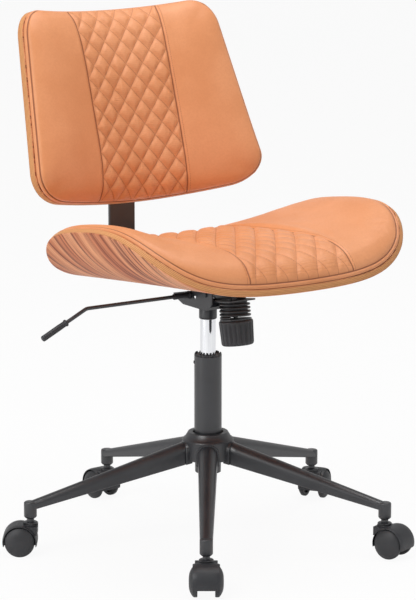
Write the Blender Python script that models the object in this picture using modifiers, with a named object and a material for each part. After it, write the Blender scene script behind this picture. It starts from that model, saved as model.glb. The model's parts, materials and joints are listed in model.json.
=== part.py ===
"""A swivel office chair: a saddle seat and a wrapped back of moulded plywood with
quilted leather pads, on a rocking mechanism, a gas lift and a five-legged castor base.

The chair faces -Y, +Z is up and the floor is z = 0. Lengths are in metres and angles in
degrees. Compass angles in the base start at the front of the chair and turn to its +X side.
"""
import math

import bmesh
import bpy
from mathutils import Matrix, Vector

# Clearances
FIT = 0.0003            # gap between pieces that touch or slide on each other
LOOSE = 0.0015          # running gap round wheels
WELD = 0.00001          # distance at which the points of one mesh are joined

# Five-legged base
LEGS = 5
BASE_YAW = -34.5        # compass angle of the first leg
LEG_REACH = 0.335       # column axis to castor stem
HUB_RADIUS = 0.046
HUB_TOP_RADIUS = 0.037
HUB_TOP = 0.2035
HUB_BOTTOM = 0.1536
HUB_SIDES = 32
LEG_ROOT_WIDTH = 0.040
LEG_TIP_WIDTH = 0.020
LEG_ROOT_TOP = 0.187
LEG_ROOT_BOTTOM = 0.148
LEG_TIP_TOP = 0.0985
LEG_TIP_BOTTOM = 0.084
SOCKET_RADIUS = 0.01075
SOCKET_BOTTOM = 0.068

# Castors
TRAIL_ANGLES = (-34.0, 20.0, 124.0, -175.0, -124.0)   # compass angle of each castor's trail
TRAIL = 0.019           # stem axis to axle
WHEEL_RADIUS = 0.027    # from the axle to the middle of a tread facet
WHEEL_WIDTH = 0.0135
WHEEL_SIDES = 18
AXLE_RADIUS = 0.003
WEB_WIDTH = 0.020       # moulded web between the two wheels
HOOD_WIDTH = 0.053
HOOD_WALL = 0.0023
HOOD_STEPS = 11         # facets of the hood
STEM_RADIUS = 0.0055
STEM_TOP = 0.0925
PIVOT_RADIUS = 0.004    # lower end of the stem, on which the castor turns
BLOCK_TOP = 0.061
BLOCK_LENGTH = 0.024
BLOCK_WIDTH = 0.037

# Height of the seat, from which the mechanism hangs and to which the lift reaches
SEAT_HEIGHT = 0.4972    # middle of the shell's upper face

# Gas lift
TUBE_RADIUS = 0.025
TUBE_FOOT_RADIUS = 0.0235
TUBE_TOP = 0.346
TUBE_BOTTOM = 0.128
TUBE_WALL = 0.002
TUBE_FLOOR = 0.003
BUSH_DEPTH = 0.048
BUSH_RIM = 0.003
CYLINDER_RADIUS = 0.014
CYLINDER_BOTTOM = SEAT_HEIGHT - 0.2922
CYLINDER_WALL = 0.003
CONE_TOP_RADIUS = 0.0126
CONE_TOP = SEAT_HEIGHT - 0.0452
SOCKET_TUBE_RADIUS = 0.01575
SOCKET_TUBE_BOTTOM = CONE_TOP - 0.0383
ROD_RADIUS = 0.005
PISTON_BOTTOM = 0.276
PISTON_LENGTH = 0.015
RACE_RADIUS = 0.011
RACE_HEIGHT = 0.0075
BUTTON_RADIUS = 0.004
BUTTON_BOTTOM = CONE_TOP - 0.006

# Rocking mechanism
SHEET = 0.0025          # pressed steel of the mechanism's housing
HOUSING_HALF = 0.037    # half of the housing's width
HOUSING_FLOOR = SEAT_HEIGHT - 0.0577   # underside
HOUSING_REAR = 0.058
HOUSING_FRONT = -0.067
HOUSING_REAR_TOP = SEAT_HEIGHT - 0.0417
HOUSING_FRONT_TOP = SEAT_HEIGHT - 0.0172
FRONT_WALL = -0.0545    # where the floor turns up to the spring flange
TILT_Y = -0.045         # axis of the rocking pivot
TILT_Z = SEAT_HEIGHT - 0.0272
PIN_RADIUS = 0.004
SIGHT_HOLE_Y = -0.0115
SIGHT_HOLE_RADIUS = 0.0042

# Rocking spring and its knob, on an axis that leans forwards as it goes down
BOLT_LEAN = 9.0
BOLT_Y = -0.0835
FLANGE_Z = SEAT_HEIGHT - 0.0377        # underside of the spring flange on the bolt's axis
FLANGE_HALF = 0.030
FLANGE_REACH = 0.029    # bolt axis to the flange's front edge
BOLT_RADIUS = 0.004
BOLT_SWING = 0.0035     # room for the bolt in flange and rocking plate
BOLT_HEAD_RADIUS = 0.010
BOLT_HEAD_HEIGHT = 0.004
SPRING_HEIGHT = 0.0309
SPRING_RADIUS = 0.0247  # to the middle of the wire
WIRE_RADIUS = 0.002
SPRING_TURNS = 4.5
TURN_POINTS = 10
CUP_RADIUS = 0.0285
CUP_HEIGHT = 0.0022
KNOB_RADIUS = 0.0308
KNOB_FOOT_RADIUS = 0.0293
KNOB_HEIGHT = 0.0455
KNOB_TRAVEL = 0.003     # height the knob climbs on the bolt
KNOB_FLUTES = 20
FLUTE_DEPTH = 0.0013

# Lever
LEVER_Y = 0.004
LEVER_Z = SEAT_HEIGHT - 0.0367
LEVER_RADIUS = 0.0034
LEVER_INNER = 0.014
LEVER_BEND = -0.255
LEVER_DROP = 26.0       # slope of the outer end
GRIP_START = 0.046      # along the sloping end, from the bend
GRIP_LENGTH = 0.055
GRIP_RADIUS = 0.0052
LEVER_BUSH_RADIUS = 0.0055
LEVER_BUSH_OUTER = -0.072
LEVER_BUSH_INNER = -0.031

# Seat, in a frame whose origin is the middle of the shell's upper face
SEAT_PITCH = 5.06       # the seat falls to the rear
PLY = 0.012
SEAT_HALF_WIDTH = 0.285
SEAT_FRONT = 0.297      # reach in front of the origin
SEAT_REAR = 0.198       # reach behind it
SEAT_TAPER = -0.031     # the seat narrows towards the rear
SEAT_DISH = 0.0223      # rise of the shell's shallow dish at the side
SEAT_WING = 0.090       # further rise of its turned-up sides
SEAT_WING_POWER = 4.7
SEAT_WING_FALL = 0.018  # the wings fall away to the front and the rear
SEAT_SQUARENESS = 3.58  # exponent of the rounded outline
SEAT_CROWN = 0.061      # foam in the middle, above the side band
BAND = 0.009            # side band of the pads
PAD_SETBACK = 0.002     # pad edge inside the shell's edge
CROWN_POWER = 4.7
SEAT_QUILT_HALF = 0.110

# Back, in a frame whose origin is the middle of the shell's front face
BACK_Y = 0.2938
BACK_Z = SEAT_HEIGHT + 0.2723
BACK_RECLINE = 17.85
BACK_HEIGHT = 0.367
BACK_TOP_HALF = 0.2075
BACK_BOTTOM_HALF = 0.2550
BACK_WRAP = 0.047       # forward sweep of the sides at BACK_WRAP_AT from the middle
BACK_WRAP_AT = 0.200
BACK_TOP_DIP = 0.004
BACK_BOTTOM_RISE = 0.011
BACK_TOP_CORNER = 0.052
BACK_BOTTOM_CORNER = 0.058
BACK_CROWN = 0.035
BACK_QUILT_HALF = 0.100

# Quilting of both pads
QUILT_COLUMNS = 10      # half diamonds across the quilted band
QUILT_ROWS = 16         # half diamonds along it
QUILT_DEPTH = 0.005
SEAM_DEPTH = 0.005
SIDE_LINES = (0.32, 0.62, 0.87)   # lines of the plain side panels, from seam to edge
EDGE_LINE = 0.96        # extra line of the pads close to front and rear edge

# Rocking plate and back bracket
PLATE = 0.003
PLATE_HALF = 0.075
PLATE_REAR = 0.098
PLATE_SHOULDER = -0.055
TONGUE_HALF = 0.028
TONGUE_FRONT = -0.110
TONGUE_DROP = 0.009
EAR_RADIUS = 0.008
EAR = 0.0025
BRACKET = 0.006
BRACKET_HALF = 0.0275
BRACKET_FRONT = 0.068
BRACKET_Y = 0.291       # middle of the upright stretch
BRACKET_BEND = 0.030
BRACKET_TOP = 0.060     # end of the bracket above the middle of the back

# Screws
SCREW_RADIUS = 0.003
SCREW_HEAD_RADIUS = 0.0055
SCREW_HEAD = 0.0035
SCREW_BITE = 0.008      # depth in the plywood
SEAT_SCREWS = ((-0.058, -0.025), (0.058, -0.025), (-0.016, 0.082), (0.016, 0.082))
BACK_SCREWS = (-0.030, 0.030)     # heights on the back

ROUND = 20              # sides of middling turned pieces
SMALL = 12              # sides of small ones

PARTS = None
CUTTERS = None


# Collections, materials and objects

def clear_scene():
    for thing in list(bpy.data.objects):
        bpy.data.objects.remove(thing, do_unlink=True)


def new_collection(name):
    made = bpy.data.collections.new(name)
    bpy.context.scene.collection.children.link(made)
    return made


def new_material(name, colour, roughness, metallic=0.0):
    made = bpy.data.materials.new(name)
    made.use_nodes = True
    shader = made.node_tree.nodes["Principled BSDF"]
    shader.inputs["Base Color"].default_value = (*colour, 1.0)
    shader.inputs["Roughness"].default_value = roughness
    shader.inputs["Metallic"].default_value = metallic
    made.diffuse_color = (*colour, 1.0)
    return made


def new_frame(name, matrix, parent=None):
    empty = bpy.data.objects.new(name, None)
    empty.empty_display_size = 0.03
    PARTS.objects.link(empty)
    empty.parent = parent
    empty.matrix_local = matrix
    return empty


def add_part(name, mesh, material, parent, matrix=None):
    if not mesh.materials:
        mesh.materials.append(material)
    mesh.shade_smooth()
    mesh.set_sharp_from_angle(angle=math.radians(35.0))
    part = bpy.data.objects.new(name, mesh)
    PARTS.objects.link(part)
    part.parent = parent
    part.matrix_local = matrix or Matrix()
    return part


def helper(data, matrix=None):
    made = bpy.data.objects.new("helper", data)
    made.display_type = "WIRE"
    made.hide_render = True
    CUTTERS.objects.link(made)
    made.matrix_world = matrix or Matrix()
    return made


def face_outwards(work):
    bmesh.ops.recalc_face_normals(work, faces=work.faces)
    if work.calc_volume(signed=True) < 0:
        bmesh.ops.reverse_faces(work, faces=work.faces)


def settle(made):
    """The mesh of a helper as its modifiers leave it, welded and facing outwards."""
    bpy.context.view_layer.update()
    graph = bpy.context.evaluated_depsgraph_get()
    mesh = bpy.data.meshes.new_from_object(made.evaluated_get(graph))
    work = bmesh.new()
    work.from_mesh(mesh)
    bmesh.ops.remove_doubles(work, verts=work.verts, dist=WELD)
    face_outwards(work)
    work.to_mesh(mesh)
    work.free()
    bpy.data.objects.remove(made, do_unlink=True)
    return mesh


# Shapes

def turned(profile, sides):
    """A solid of revolution about Z from (radius, height) points down its outer side."""
    mesh = bpy.data.meshes.new("profile")
    edges = [(i, i + 1) for i in range(len(profile) - 1)]
    if profile[0][0] > 0:
        edges.append((len(profile) - 1, 0))
    mesh.from_pydata([(radius, 0, height) for radius, height in profile], edges, [])
    made = helper(mesh)
    screw = made.modifiers.new("turn", "SCREW")
    screw.steps = screw.render_steps = sides
    screw.use_merge_vertices = True
    screw.merge_threshold = WELD
    return settle(made)


def cylinder(radius, bottom, top, sides):
    return turned([(0, top), (radius, top), (radius, bottom), (0, bottom)], sides)


def sheet(outline, thickness):
    """A flat piece in the XY plane, centred on z = 0."""
    curve = bpy.data.curves.new("outline", "CURVE")
    curve.dimensions = "2D"
    curve.fill_mode = "BOTH"
    curve.extrude = thickness / 2
    spline = curve.splines.new("POLY")
    spline.points.add(len(outline) - 1)
    for point, (x, y) in zip(spline.points, outline):
        point.co = (x, y, 0, 1)
    spline.use_cyclic_u = True
    return settle(helper(curve))


def tube(points, radius, resolution):
    """A round bar along a list of points, with closed ends."""
    curve = bpy.data.curves.new("path", "CURVE")
    curve.dimensions = "3D"
    curve.bevel_depth = radius
    curve.bevel_resolution = resolution
    curve.use_fill_caps = True
    spline = curve.splines.new("POLY")
    spline.points.add(len(points) - 1)
    for point, place in zip(spline.points, points):
        point.co = (*place, 1)
    return settle(helper(curve))


def block(low, high):
    work = bmesh.new()
    size = [b - a for a, b in zip(low, high)]
    middle = [(a + b) / 2 for a, b in zip(low, high)]
    matrix = Matrix.Translation(middle) @ Matrix.Diagonal((*size, 1))
    bmesh.ops.create_cube(work, size=1, matrix=matrix)
    mesh = bpy.data.meshes.new("block")
    work.to_mesh(mesh)
    work.free()
    return mesh


def loft(rings):
    """A closed solid through rings with equal numbers of points."""
    work = bmesh.new()
    rows = [[work.verts.new(point) for point in ring] for ring in rings]
    count = len(rings[0])
    for near, far in zip(rows, rows[1:]):
        for i in range(count):
            j = (i + 1) % count
            work.faces.new((near[i], near[j], far[j], far[i]))
    work.faces.new(rows[0][::-1])
    work.faces.new(rows[-1])
    face_outwards(work)
    mesh = bpy.data.meshes.new("loft")
    work.to_mesh(mesh)
    work.free()
    return mesh


def combined(mesh, others, operation="DIFFERENCE"):
    """The mesh cut by, or joined with, a list of (mesh, matrix) pairs."""
    made = helper(mesh)
    tools = []
    for other, matrix in others:
        tool = helper(other, matrix)
        step = made.modifiers.new("step", "BOOLEAN")
        step.operation = operation
        step.solver = "EXACT"
        step.object = tool
        tools.append(tool)
    result = settle(made)
    for tool in tools:
        bpy.data.objects.remove(tool, do_unlink=True)
    return result


def moved(mesh, matrix):
    mesh.transform(matrix)
    return mesh


def arc(centre, radius, start, end, steps):
    """Points on a circle between two angles in degrees."""
    points = []
    for i in range(steps + 1):
        angle = math.radians(start + (end - start) * i / steps)
        points.append((centre[0] + radius * math.cos(angle),
                       centre[1] + radius * math.sin(angle)))
    return points


def ribbon(path, thickness):
    """The outline of a strip of even thickness along a bent path in its plane."""
    left = []
    right = []
    for i, here in enumerate(path):
        before = path[max(i - 1, 0)]
        after = path[min(i + 1, len(path) - 1)]
        here = Vector(here)
        into = (here - Vector(before)).normalized() if i else None
        out = (Vector(after) - here).normalized() if i < len(path) - 1 else None
        into = into or out
        out = out or into
        along = (into + out).normalized()
        across = Vector((-along.y, along.x))
        reach = thickness / 2 / max(along.dot(into), 0.5)
        left.append(tuple(here + across * reach))
        right.append(tuple(here - across * reach))
    return left + right[::-1]


def turn_x(angle):
    return Matrix.Rotation(math.radians(angle), 4, "X")


def turn_y(angle):
    return Matrix.Rotation(math.radians(angle), 4, "Y")


def turn_z(angle):
    return Matrix.Rotation(math.radians(angle), 4, "Z")


def shift(x, y, z):
    return Matrix.Translation((x, y, z))


def compass(angle):
    """Turns a piece made along +X to a compass angle from the chair's front."""
    return turn_z(angle - 90.0)


# Base

def between(value, start, end):
    return start + (end - start) * value


def tube_radius_at(height):
    """Outer radius of the lift's tube, which tapers inside the hub."""
    if height >= HUB_TOP:
        return TUBE_RADIUS
    share = (HUB_TOP - height) / (HUB_TOP - TUBE_BOTTOM)
    return between(share, TUBE_RADIUS, TUBE_FOOT_RADIUS)


def build_hub(root, steel):
    edge = 0.003
    dome = 0.016
    profile = [
        (HUB_TOP_RADIUS - edge, HUB_TOP),
        (HUB_TOP_RADIUS, HUB_TOP - edge / 2),
        (HUB_TOP_RADIUS, HUB_TOP - 2 * edge),
        (HUB_RADIUS - edge / 2, HUB_TOP - dome + edge),
        (HUB_RADIUS, HUB_TOP - dome),
        (HUB_RADIUS, HUB_BOTTOM + edge),
        (HUB_RADIUS - edge, HUB_BOTTOM),
        (tube_radius_at(HUB_BOTTOM) + FIT, HUB_BOTTOM),
        (tube_radius_at(HUB_TOP) + FIT, HUB_TOP),
    ]
    add_part("base_hub", turned(profile, HUB_SIDES), steel, root, compass(BASE_YAW))


def leg_section(reach, arch_steps=8):
    """An arched section, flat underneath, of the leg that runs along +X."""
    share = (reach - HUB_RADIUS) / (LEG_REACH - HUB_RADIUS)
    half = between(share, LEG_ROOT_WIDTH, LEG_TIP_WIDTH) / 2
    top = between(share, LEG_ROOT_TOP, LEG_TIP_TOP)
    bottom = between(share, LEG_ROOT_BOTTOM, LEG_TIP_BOTTOM)
    spring_line = top - min(half, (top - bottom) * 0.6)
    ring = [(reach, -half, bottom), (reach, half, bottom)]
    for i in range(arch_steps + 1):
        angle = math.pi * i / arch_steps
        ring.append((reach, half * math.cos(angle),
                     spring_line + (top - spring_line) * math.sin(angle)))
    return ring


def build_legs(root, steel):
    inner = HUB_RADIUS - 0.008
    body = loft([leg_section(inner), leg_section(LEG_REACH)])
    rim = 0.0015
    socket = turned([
        (0, LEG_TIP_TOP - rim), (SOCKET_RADIUS - rim, LEG_TIP_TOP - rim),
        (SOCKET_RADIUS, LEG_TIP_TOP - 2 * rim), (SOCKET_RADIUS, SOCKET_BOTTOM + rim),
        (SOCKET_RADIUS - rim, SOCKET_BOTTOM), (0, SOCKET_BOTTOM)], ROUND)
    tip = shift(LEG_REACH, 0, 0)
    body = combined(body, [(socket, tip)], "UNION")
    bore = cylinder(STEM_RADIUS + FIT, SOCKET_BOTTOM - 0.01, STEM_TOP + FIT, SMALL)
    hub = cylinder(HUB_RADIUS + FIT, HUB_BOTTOM - 0.02, HUB_TOP + 0.02, HUB_SIDES)
    leg = combined(body, [(bore, tip), (hub, Matrix())])
    for i in range(LEGS):
        add_part("base_leg_%d" % (i + 1), leg, steel, root, compass(BASE_YAW + 360 / LEGS * i))


# Castors

def stem_mesh():
    flange = 0.013
    neck = 0.0075
    edge = 0.001
    return turned([
        (0, STEM_TOP), (STEM_RADIUS - edge, STEM_TOP), (STEM_RADIUS, STEM_TOP - edge),
        (STEM_RADIUS, SOCKET_BOTTOM - FIT), (neck, SOCKET_BOTTOM - FIT),
        (neck, BLOCK_TOP + FIT + 0.005), (flange, BLOCK_TOP + FIT + 0.005),
        (flange, BLOCK_TOP + FIT), (PIVOT_RADIUS, BLOCK_TOP + FIT),
        (PIVOT_RADIUS, BLOCK_TOP - 0.015), (0, BLOCK_TOP - 0.015)], SMALL)


def housing_mesh():
    """Hood over both wheels, with the web that holds the axle and the stem's block."""
    outer = WHEEL_RADIUS + LOOSE + HOOD_WALL + 0.0007
    inner = outer - HOOD_WALL
    droop = 8.0
    axle = (TRAIL, WHEEL_RADIUS)
    hood = sheet(arc(axle, outer, -droop, 180 + droop, HOOD_STEPS)
                 + arc(axle, inner, 180 + droop, -droop, HOOD_STEPS), HOOD_WIDTH)
    boss = AXLE_RADIUS + 0.005
    web = sheet(arc(axle, outer - HOOD_WALL / 3, -droop, 180 + droop, HOOD_STEPS)
                + arc(axle, boss, 200, 340, 5), WEB_WIDTH)
    upright = turn_x(90)
    half = BLOCK_WIDTH / 2
    neck = block((-BLOCK_LENGTH / 2, -half, BLOCK_TOP - 0.020),
                 (BLOCK_LENGTH / 2, half, BLOCK_TOP))
    inside = sheet(arc(axle, inner, 0, 360, 2 * HOOD_STEPS)[:-1], HOOD_WIDTH + 0.01)
    neck = combined(neck, [(inside, upright)])
    body = combined(moved(hood, upright), [(web, upright), (neck, Matrix())], "UNION")
    hole = moved(cylinder(AXLE_RADIUS + FIT, -WEB_WIDTH, WEB_WIDTH, SMALL), turn_x(90))
    pivot = cylinder(PIVOT_RADIUS + FIT, BLOCK_TOP - 0.015 - FIT, BLOCK_TOP + 0.01, SMALL)
    return combined(body, [(hole, shift(TRAIL, 0, WHEEL_RADIUS)), (pivot, Matrix())])


def wheel_mesh():
    """A wheel with a blind bore; +Z is its outer face."""
    rim = WHEEL_RADIUS / math.cos(math.pi / WHEEL_SIDES)
    half = WHEEL_WIDTH / 2
    shoulder = 0.0025
    return turned([
        (0, half), (rim - shoulder, half), (rim, half - shoulder),
        (rim, shoulder - half), (rim - shoulder, -half), (AXLE_RADIUS + FIT, -half),
        (AXLE_RADIUS + FIT, half - 0.003), (0, half - 0.003)], WHEEL_SIDES)


def build_castors(root, steel, plastic, tread):
    stem = stem_mesh()
    housing = housing_mesh()
    wheel = wheel_mesh()
    offset = WEB_WIDTH / 2 + LOOSE + WHEEL_WIDTH / 2
    axle_half = offset + WHEEL_WIDTH / 2 - 0.003 - FIT
    axle = cylinder(AXLE_RADIUS, -axle_half, axle_half, SMALL)
    for i in range(LEGS):
        number = i + 1
        tip = compass(BASE_YAW + 360 / LEGS * i) @ shift(LEG_REACH, 0, 0)
        place = Matrix.Translation(tip.to_translation()) @ compass(TRAIL_ANGLES[i])
        frame = new_frame("castor_%d_axis" % number, place, root)
        add_part("castor_stem_%d" % number, stem, steel, frame)
        add_part("castor_housing_%d" % number, housing, plastic, frame)
        axis = new_frame("castor_%d_axle_axis" % number, shift(TRAIL, 0, WHEEL_RADIUS), frame)
        add_part("castor_axle_%d" % number, axle, steel, axis, turn_x(90))
        for side, word in ((1, "left"), (-1, "right")):
            matrix = shift(0, side * offset, 0) @ turn_x(-90 * side)
            add_part("castor_wheel_%d_%s" % (number, word), wheel, tread, axis, matrix)


# Gas lift

def build_lift(root, steel, chrome, plastic):
    inner = TUBE_RADIUS - TUBE_WALL
    rod_hole = ROD_RADIUS + 2 * FIT
    floor = TUBE_BOTTOM + TUBE_FLOOR
    tube_profile = [
        (TUBE_RADIUS, TUBE_TOP), (TUBE_RADIUS, HUB_TOP), (TUBE_FOOT_RADIUS, TUBE_BOTTOM),
        (rod_hole, TUBE_BOTTOM), (rod_hole, floor),
        (TUBE_FOOT_RADIUS - TUBE_WALL, floor), (inner, HUB_TOP), (inner, TUBE_TOP)]
    add_part("column_tube", turned(tube_profile, HUB_SIDES), steel, root, compass(BASE_YAW))

    guide = CYLINDER_RADIUS + FIT
    bush_profile = [
        (inner, TUBE_TOP + FIT + BUSH_RIM), (TUBE_RADIUS, TUBE_TOP + BUSH_RIM - 0.001),
        (TUBE_RADIUS, TUBE_TOP + FIT), (inner - FIT, TUBE_TOP + FIT),
        (inner - FIT, TUBE_TOP - BUSH_DEPTH), (guide, TUBE_TOP - BUSH_DEPTH),
        (guide, TUBE_TOP + FIT + BUSH_RIM)]
    bush = turned(bush_profile, HUB_SIDES)
    add_part("column_guide_bush", bush, plastic, root, compass(BASE_YAW))

    race_bottom = floor + FIT
    race_top = race_bottom + RACE_HEIGHT
    race = turned([(RACE_RADIUS, race_top), (RACE_RADIUS, race_bottom),
                   (rod_hole, race_bottom), (rod_hole, race_top)], ROUND)
    add_part("thrust_bearing", race, chrome, root)

    collar = 0.0085
    clip_top = TUBE_BOTTOM - FIT
    bore = CYLINDER_RADIUS - CYLINDER_WALL
    piston = bore - FIT
    rod = turned([
        (0, PISTON_BOTTOM + PISTON_LENGTH), (piston, PISTON_BOTTOM + PISTON_LENGTH),
        (piston, PISTON_BOTTOM), (ROD_RADIUS, PISTON_BOTTOM),
        (ROD_RADIUS, race_top + FIT + 0.003), (collar, race_top + FIT + 0.003),
        (collar, race_top + FIT), (ROD_RADIUS, race_top + FIT), (ROD_RADIUS, clip_top),
        (collar, clip_top), (collar, clip_top - 0.003), (0, clip_top - 0.003)], ROUND)
    add_part("piston_rod", rod, chrome, root)

    button_hole = BUTTON_RADIUS + FIT
    cylinder_profile = [
        (0, BUTTON_BOTTOM - 0.005), (button_hole, BUTTON_BOTTOM - 0.005),
        (button_hole, CONE_TOP), (CONE_TOP_RADIUS, CONE_TOP),
        (CYLINDER_RADIUS, SOCKET_TUBE_BOTTOM), (CYLINDER_RADIUS, CYLINDER_BOTTOM),
        (rod_hole, CYLINDER_BOTTOM), (rod_hole, CYLINDER_BOTTOM + 0.006),
        (bore, CYLINDER_BOTTOM + 0.006), (bore, BUTTON_BOTTOM - 0.016),
        (0, BUTTON_BOTTOM - 0.016)]
    add_part("gas_cylinder", turned(cylinder_profile, HUB_SIDES), chrome, root,
             compass(BASE_YAW))
    button = cylinder(BUTTON_RADIUS, BUTTON_BOTTOM, LEVER_Z - LEVER_RADIUS - FIT, SMALL)
    add_part("valve_button", button, plastic, root)

    socket = turned([
        (SOCKET_TUBE_RADIUS, CONE_TOP), (SOCKET_TUBE_RADIUS, SOCKET_TUBE_BOTTOM),
        (CYLINDER_RADIUS + FIT, SOCKET_TUBE_BOTTOM), (CONE_TOP_RADIUS + FIT, CONE_TOP)],
        HUB_SIDES)
    add_part("taper_socket", socket, steel, root, compass(BASE_YAW))


# Rocking mechanism

def upright_plane():
    """Turns a sheet drawn as (y, z) points upright, with its thickness along X."""
    return Matrix(((0, 0, 1, 0), (1, 0, 0, 0), (0, 1, 0, 0), (0, 0, 0, 1)))


def bolt_matrix():
    return shift(0, BOLT_Y, FLANGE_Z) @ turn_x(-BOLT_LEAN)


def build_housing(root, steel):
    """Two side plates, joined by a floor that turns up in front to the spring flange."""
    upright = upright_plane()
    cheek = [
        (HOUSING_REAR, HOUSING_REAR_TOP), (HOUSING_REAR - 0.004, HOUSING_REAR_TOP - 0.006),
        (0.037, HOUSING_FLOOR + 0.004), (0.026, HOUSING_FLOOR), (-0.035, HOUSING_FLOOR),
        (-0.060, HOUSING_FLOOR + 0.007), (HOUSING_FRONT, HOUSING_FLOOR + 0.016),
        (HOUSING_FRONT, HOUSING_FRONT_TOP - 0.006), (HOUSING_FRONT + 0.006, HOUSING_FRONT_TOP),
        (TILT_Y - 0.006, HOUSING_FRONT_TOP)]
    flange_frame = bolt_matrix()
    wall = FRONT_WALL + SHEET / 2
    floor = HOUSING_FLOOR + SHEET / 2 + FIT
    knee = flange_frame @ Vector((0, wall - BOLT_Y, SHEET / 2))
    path = [(0.0255, floor), (wall + 0.006, floor), (wall, floor + 0.006), (knee.y, knee.z)]
    body = moved(sheet(ribbon(path, SHEET), 2 * HOUSING_HALF - SHEET), upright)
    corner = 0.008
    front = -FLANGE_REACH
    rear = wall - BOLT_Y + SHEET / 2 + FIT
    outline = [(FLANGE_HALF, rear), (-FLANGE_HALF, rear)]
    outline += arc((corner - FLANGE_HALF, front + corner), corner, 180, 270, 4)
    outline += arc((FLANGE_HALF - corner, front + corner), corner, 270, 360, 4)
    joined = [(sheet(outline, SHEET), flange_frame @ shift(0, 0, SHEET / 2))]
    for side in (-1, 1):
        plate = moved(sheet(cheek, SHEET), upright)
        joined.append((plate, shift(side * (HOUSING_HALF - SHEET / 2), 0, 0)))
    body = combined(body, joined, "UNION")
    across = 2 * HOUSING_HALF
    pin_hole = moved(cylinder(PIN_RADIUS + FIT, -across, across, SMALL), turn_y(90))
    sight = moved(cylinder(SIGHT_HOLE_RADIUS, -across, across, SMALL), turn_y(90))
    lever_hole = moved(cylinder(LEVER_BUSH_RADIUS + 2 * FIT, -across, 0, SMALL), turn_y(90))
    socket_hole = cylinder(SOCKET_TUBE_RADIUS + FIT, HOUSING_FLOOR - 0.01, HOUSING_FLOOR + 0.02,
                           HUB_SIDES)
    bolt_hole = moved(cylinder(BOLT_RADIUS + BOLT_SWING, -0.01, 0.01, SMALL),
                      shift(0, -BOLT_SWING / 2, 0))
    body = combined(body, [
        (pin_hole, shift(0, TILT_Y, TILT_Z)), (sight, shift(0, SIGHT_HOLE_Y, LEVER_Z - 0.001)),
        (lever_hole, shift(0, LEVER_Y, LEVER_Z)), (socket_hole, compass(BASE_YAW)),
        (bolt_hole, flange_frame)])
    add_part("tilt_housing", body, steel, root)
    head = 0.0065
    pin_half = HOUSING_HALF + FIT
    pin = turned([
        (0, pin_half + 0.0025), (head, pin_half + 0.0025), (head, pin_half),
        (PIN_RADIUS, pin_half), (PIN_RADIUS, -pin_half), (head, -pin_half),
        (head, -pin_half - 0.0025), (0, -pin_half - 0.0025)], SMALL)
    axis = new_frame("tilt_axis", shift(0, TILT_Y, TILT_Z), root)
    add_part("tilt_pin", pin, steel, axis, turn_y(90))


def helix_points():
    """Middle line of the spring's wire, hanging from the flange."""
    points = []
    count = int(SPRING_TURNS * TURN_POINTS)
    top = -FIT - WIRE_RADIUS
    drop = SPRING_HEIGHT - 2 * FIT - 2 * WIRE_RADIUS
    for i in range(count + 1):
        angle = 2 * math.pi * i / TURN_POINTS
        points.append((SPRING_RADIUS * math.cos(angle), SPRING_RADIUS * math.sin(angle),
                       top - drop * i / count))
    return points


def least_gap(points):
    """Least gap between turns of the wire, measured on its points."""
    least = SPRING_HEIGHT
    for i, here in enumerate(points):
        for there in points[i + TURN_POINTS // 2:]:
            gap = (Vector(here) - Vector(there)).length - 2 * WIRE_RADIUS
            least = min(least, gap)
    return least


def build_tension(root, steel, spring_steel, plastic):
    axis = new_frame("tension_axis", bolt_matrix(), root)
    wire = helix_points()
    print("least gap between the spring's turns: %.2f mm" % (least_gap(wire) * 1000))
    add_part("tension_spring", tube(wire, WIRE_RADIUS, 1), spring_steel, axis)
    cup_top = -SPRING_HEIGHT - FIT
    knob_top = cup_top - CUP_HEIGHT - FIT
    hole = BOLT_RADIUS + FIT
    cup = turned([(CUP_RADIUS, cup_top), (CUP_RADIUS, cup_top - CUP_HEIGHT),
                  (hole, cup_top - CUP_HEIGHT), (hole, cup_top)], ROUND)
    add_part("spring_cup", cup, steel, axis)

    edge = 0.0035
    bore_depth = 0.034
    knob = turned([
        (0, knob_top - bore_depth - FIT), (hole, knob_top - bore_depth - FIT),
        (hole, knob_top), (KNOB_RADIUS - 0.001, knob_top), (KNOB_RADIUS, knob_top - 0.0015),
        (KNOB_FOOT_RADIUS, knob_top - KNOB_HEIGHT + edge),
        (KNOB_FOOT_RADIUS - edge, knob_top - KNOB_HEIGHT), (0, knob_top - KNOB_HEIGHT)],
        2 * KNOB_FLUTES)
    for vertex in knob.vertices:
        reach = math.hypot(vertex.co.x, vertex.co.y)
        turn = round(math.atan2(vertex.co.y, vertex.co.x) / math.pi * KNOB_FLUTES)
        if reach > KNOB_FOOT_RADIUS - 0.001 and turn % 2:
            vertex.co.x *= 1 - FLUTE_DEPTH / reach
            vertex.co.y *= 1 - FLUTE_DEPTH / reach
    add_part("tension_knob", knob, plastic, axis)

    tongue_top = plate_height_on_bolt() + PLATE
    head_bottom = tongue_top + BOLT_HEAD_RADIUS * math.sin(math.radians(10.5))
    foot = knob_top - bore_depth + KNOB_TRAVEL
    bolt = turned([
        (0, head_bottom + BOLT_HEAD_HEIGHT), (0.007, head_bottom + BOLT_HEAD_HEIGHT),
        (BOLT_HEAD_RADIUS, head_bottom + 0.002), (BOLT_HEAD_RADIUS, head_bottom),
        (BOLT_RADIUS, head_bottom), (BOLT_RADIUS, foot), (0, foot)], SMALL)
    add_part("tension_bolt", bolt, steel, axis)


def seat_matrix():
    return shift(0, 0, SEAT_HEIGHT) @ turn_x(-SEAT_PITCH)


def plate_height_on_bolt():
    """Height of the tongue's underside along the bolt's axis, above the flange."""
    seat = seat_matrix().inverted() @ bolt_matrix()
    start = seat @ Vector((0, 0, 0))
    step = (seat @ Vector((0, 0, 1))) - start
    level = -PLY - FIT - PLATE - TONGUE_DROP
    return (level - start.z) / step.z


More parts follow.
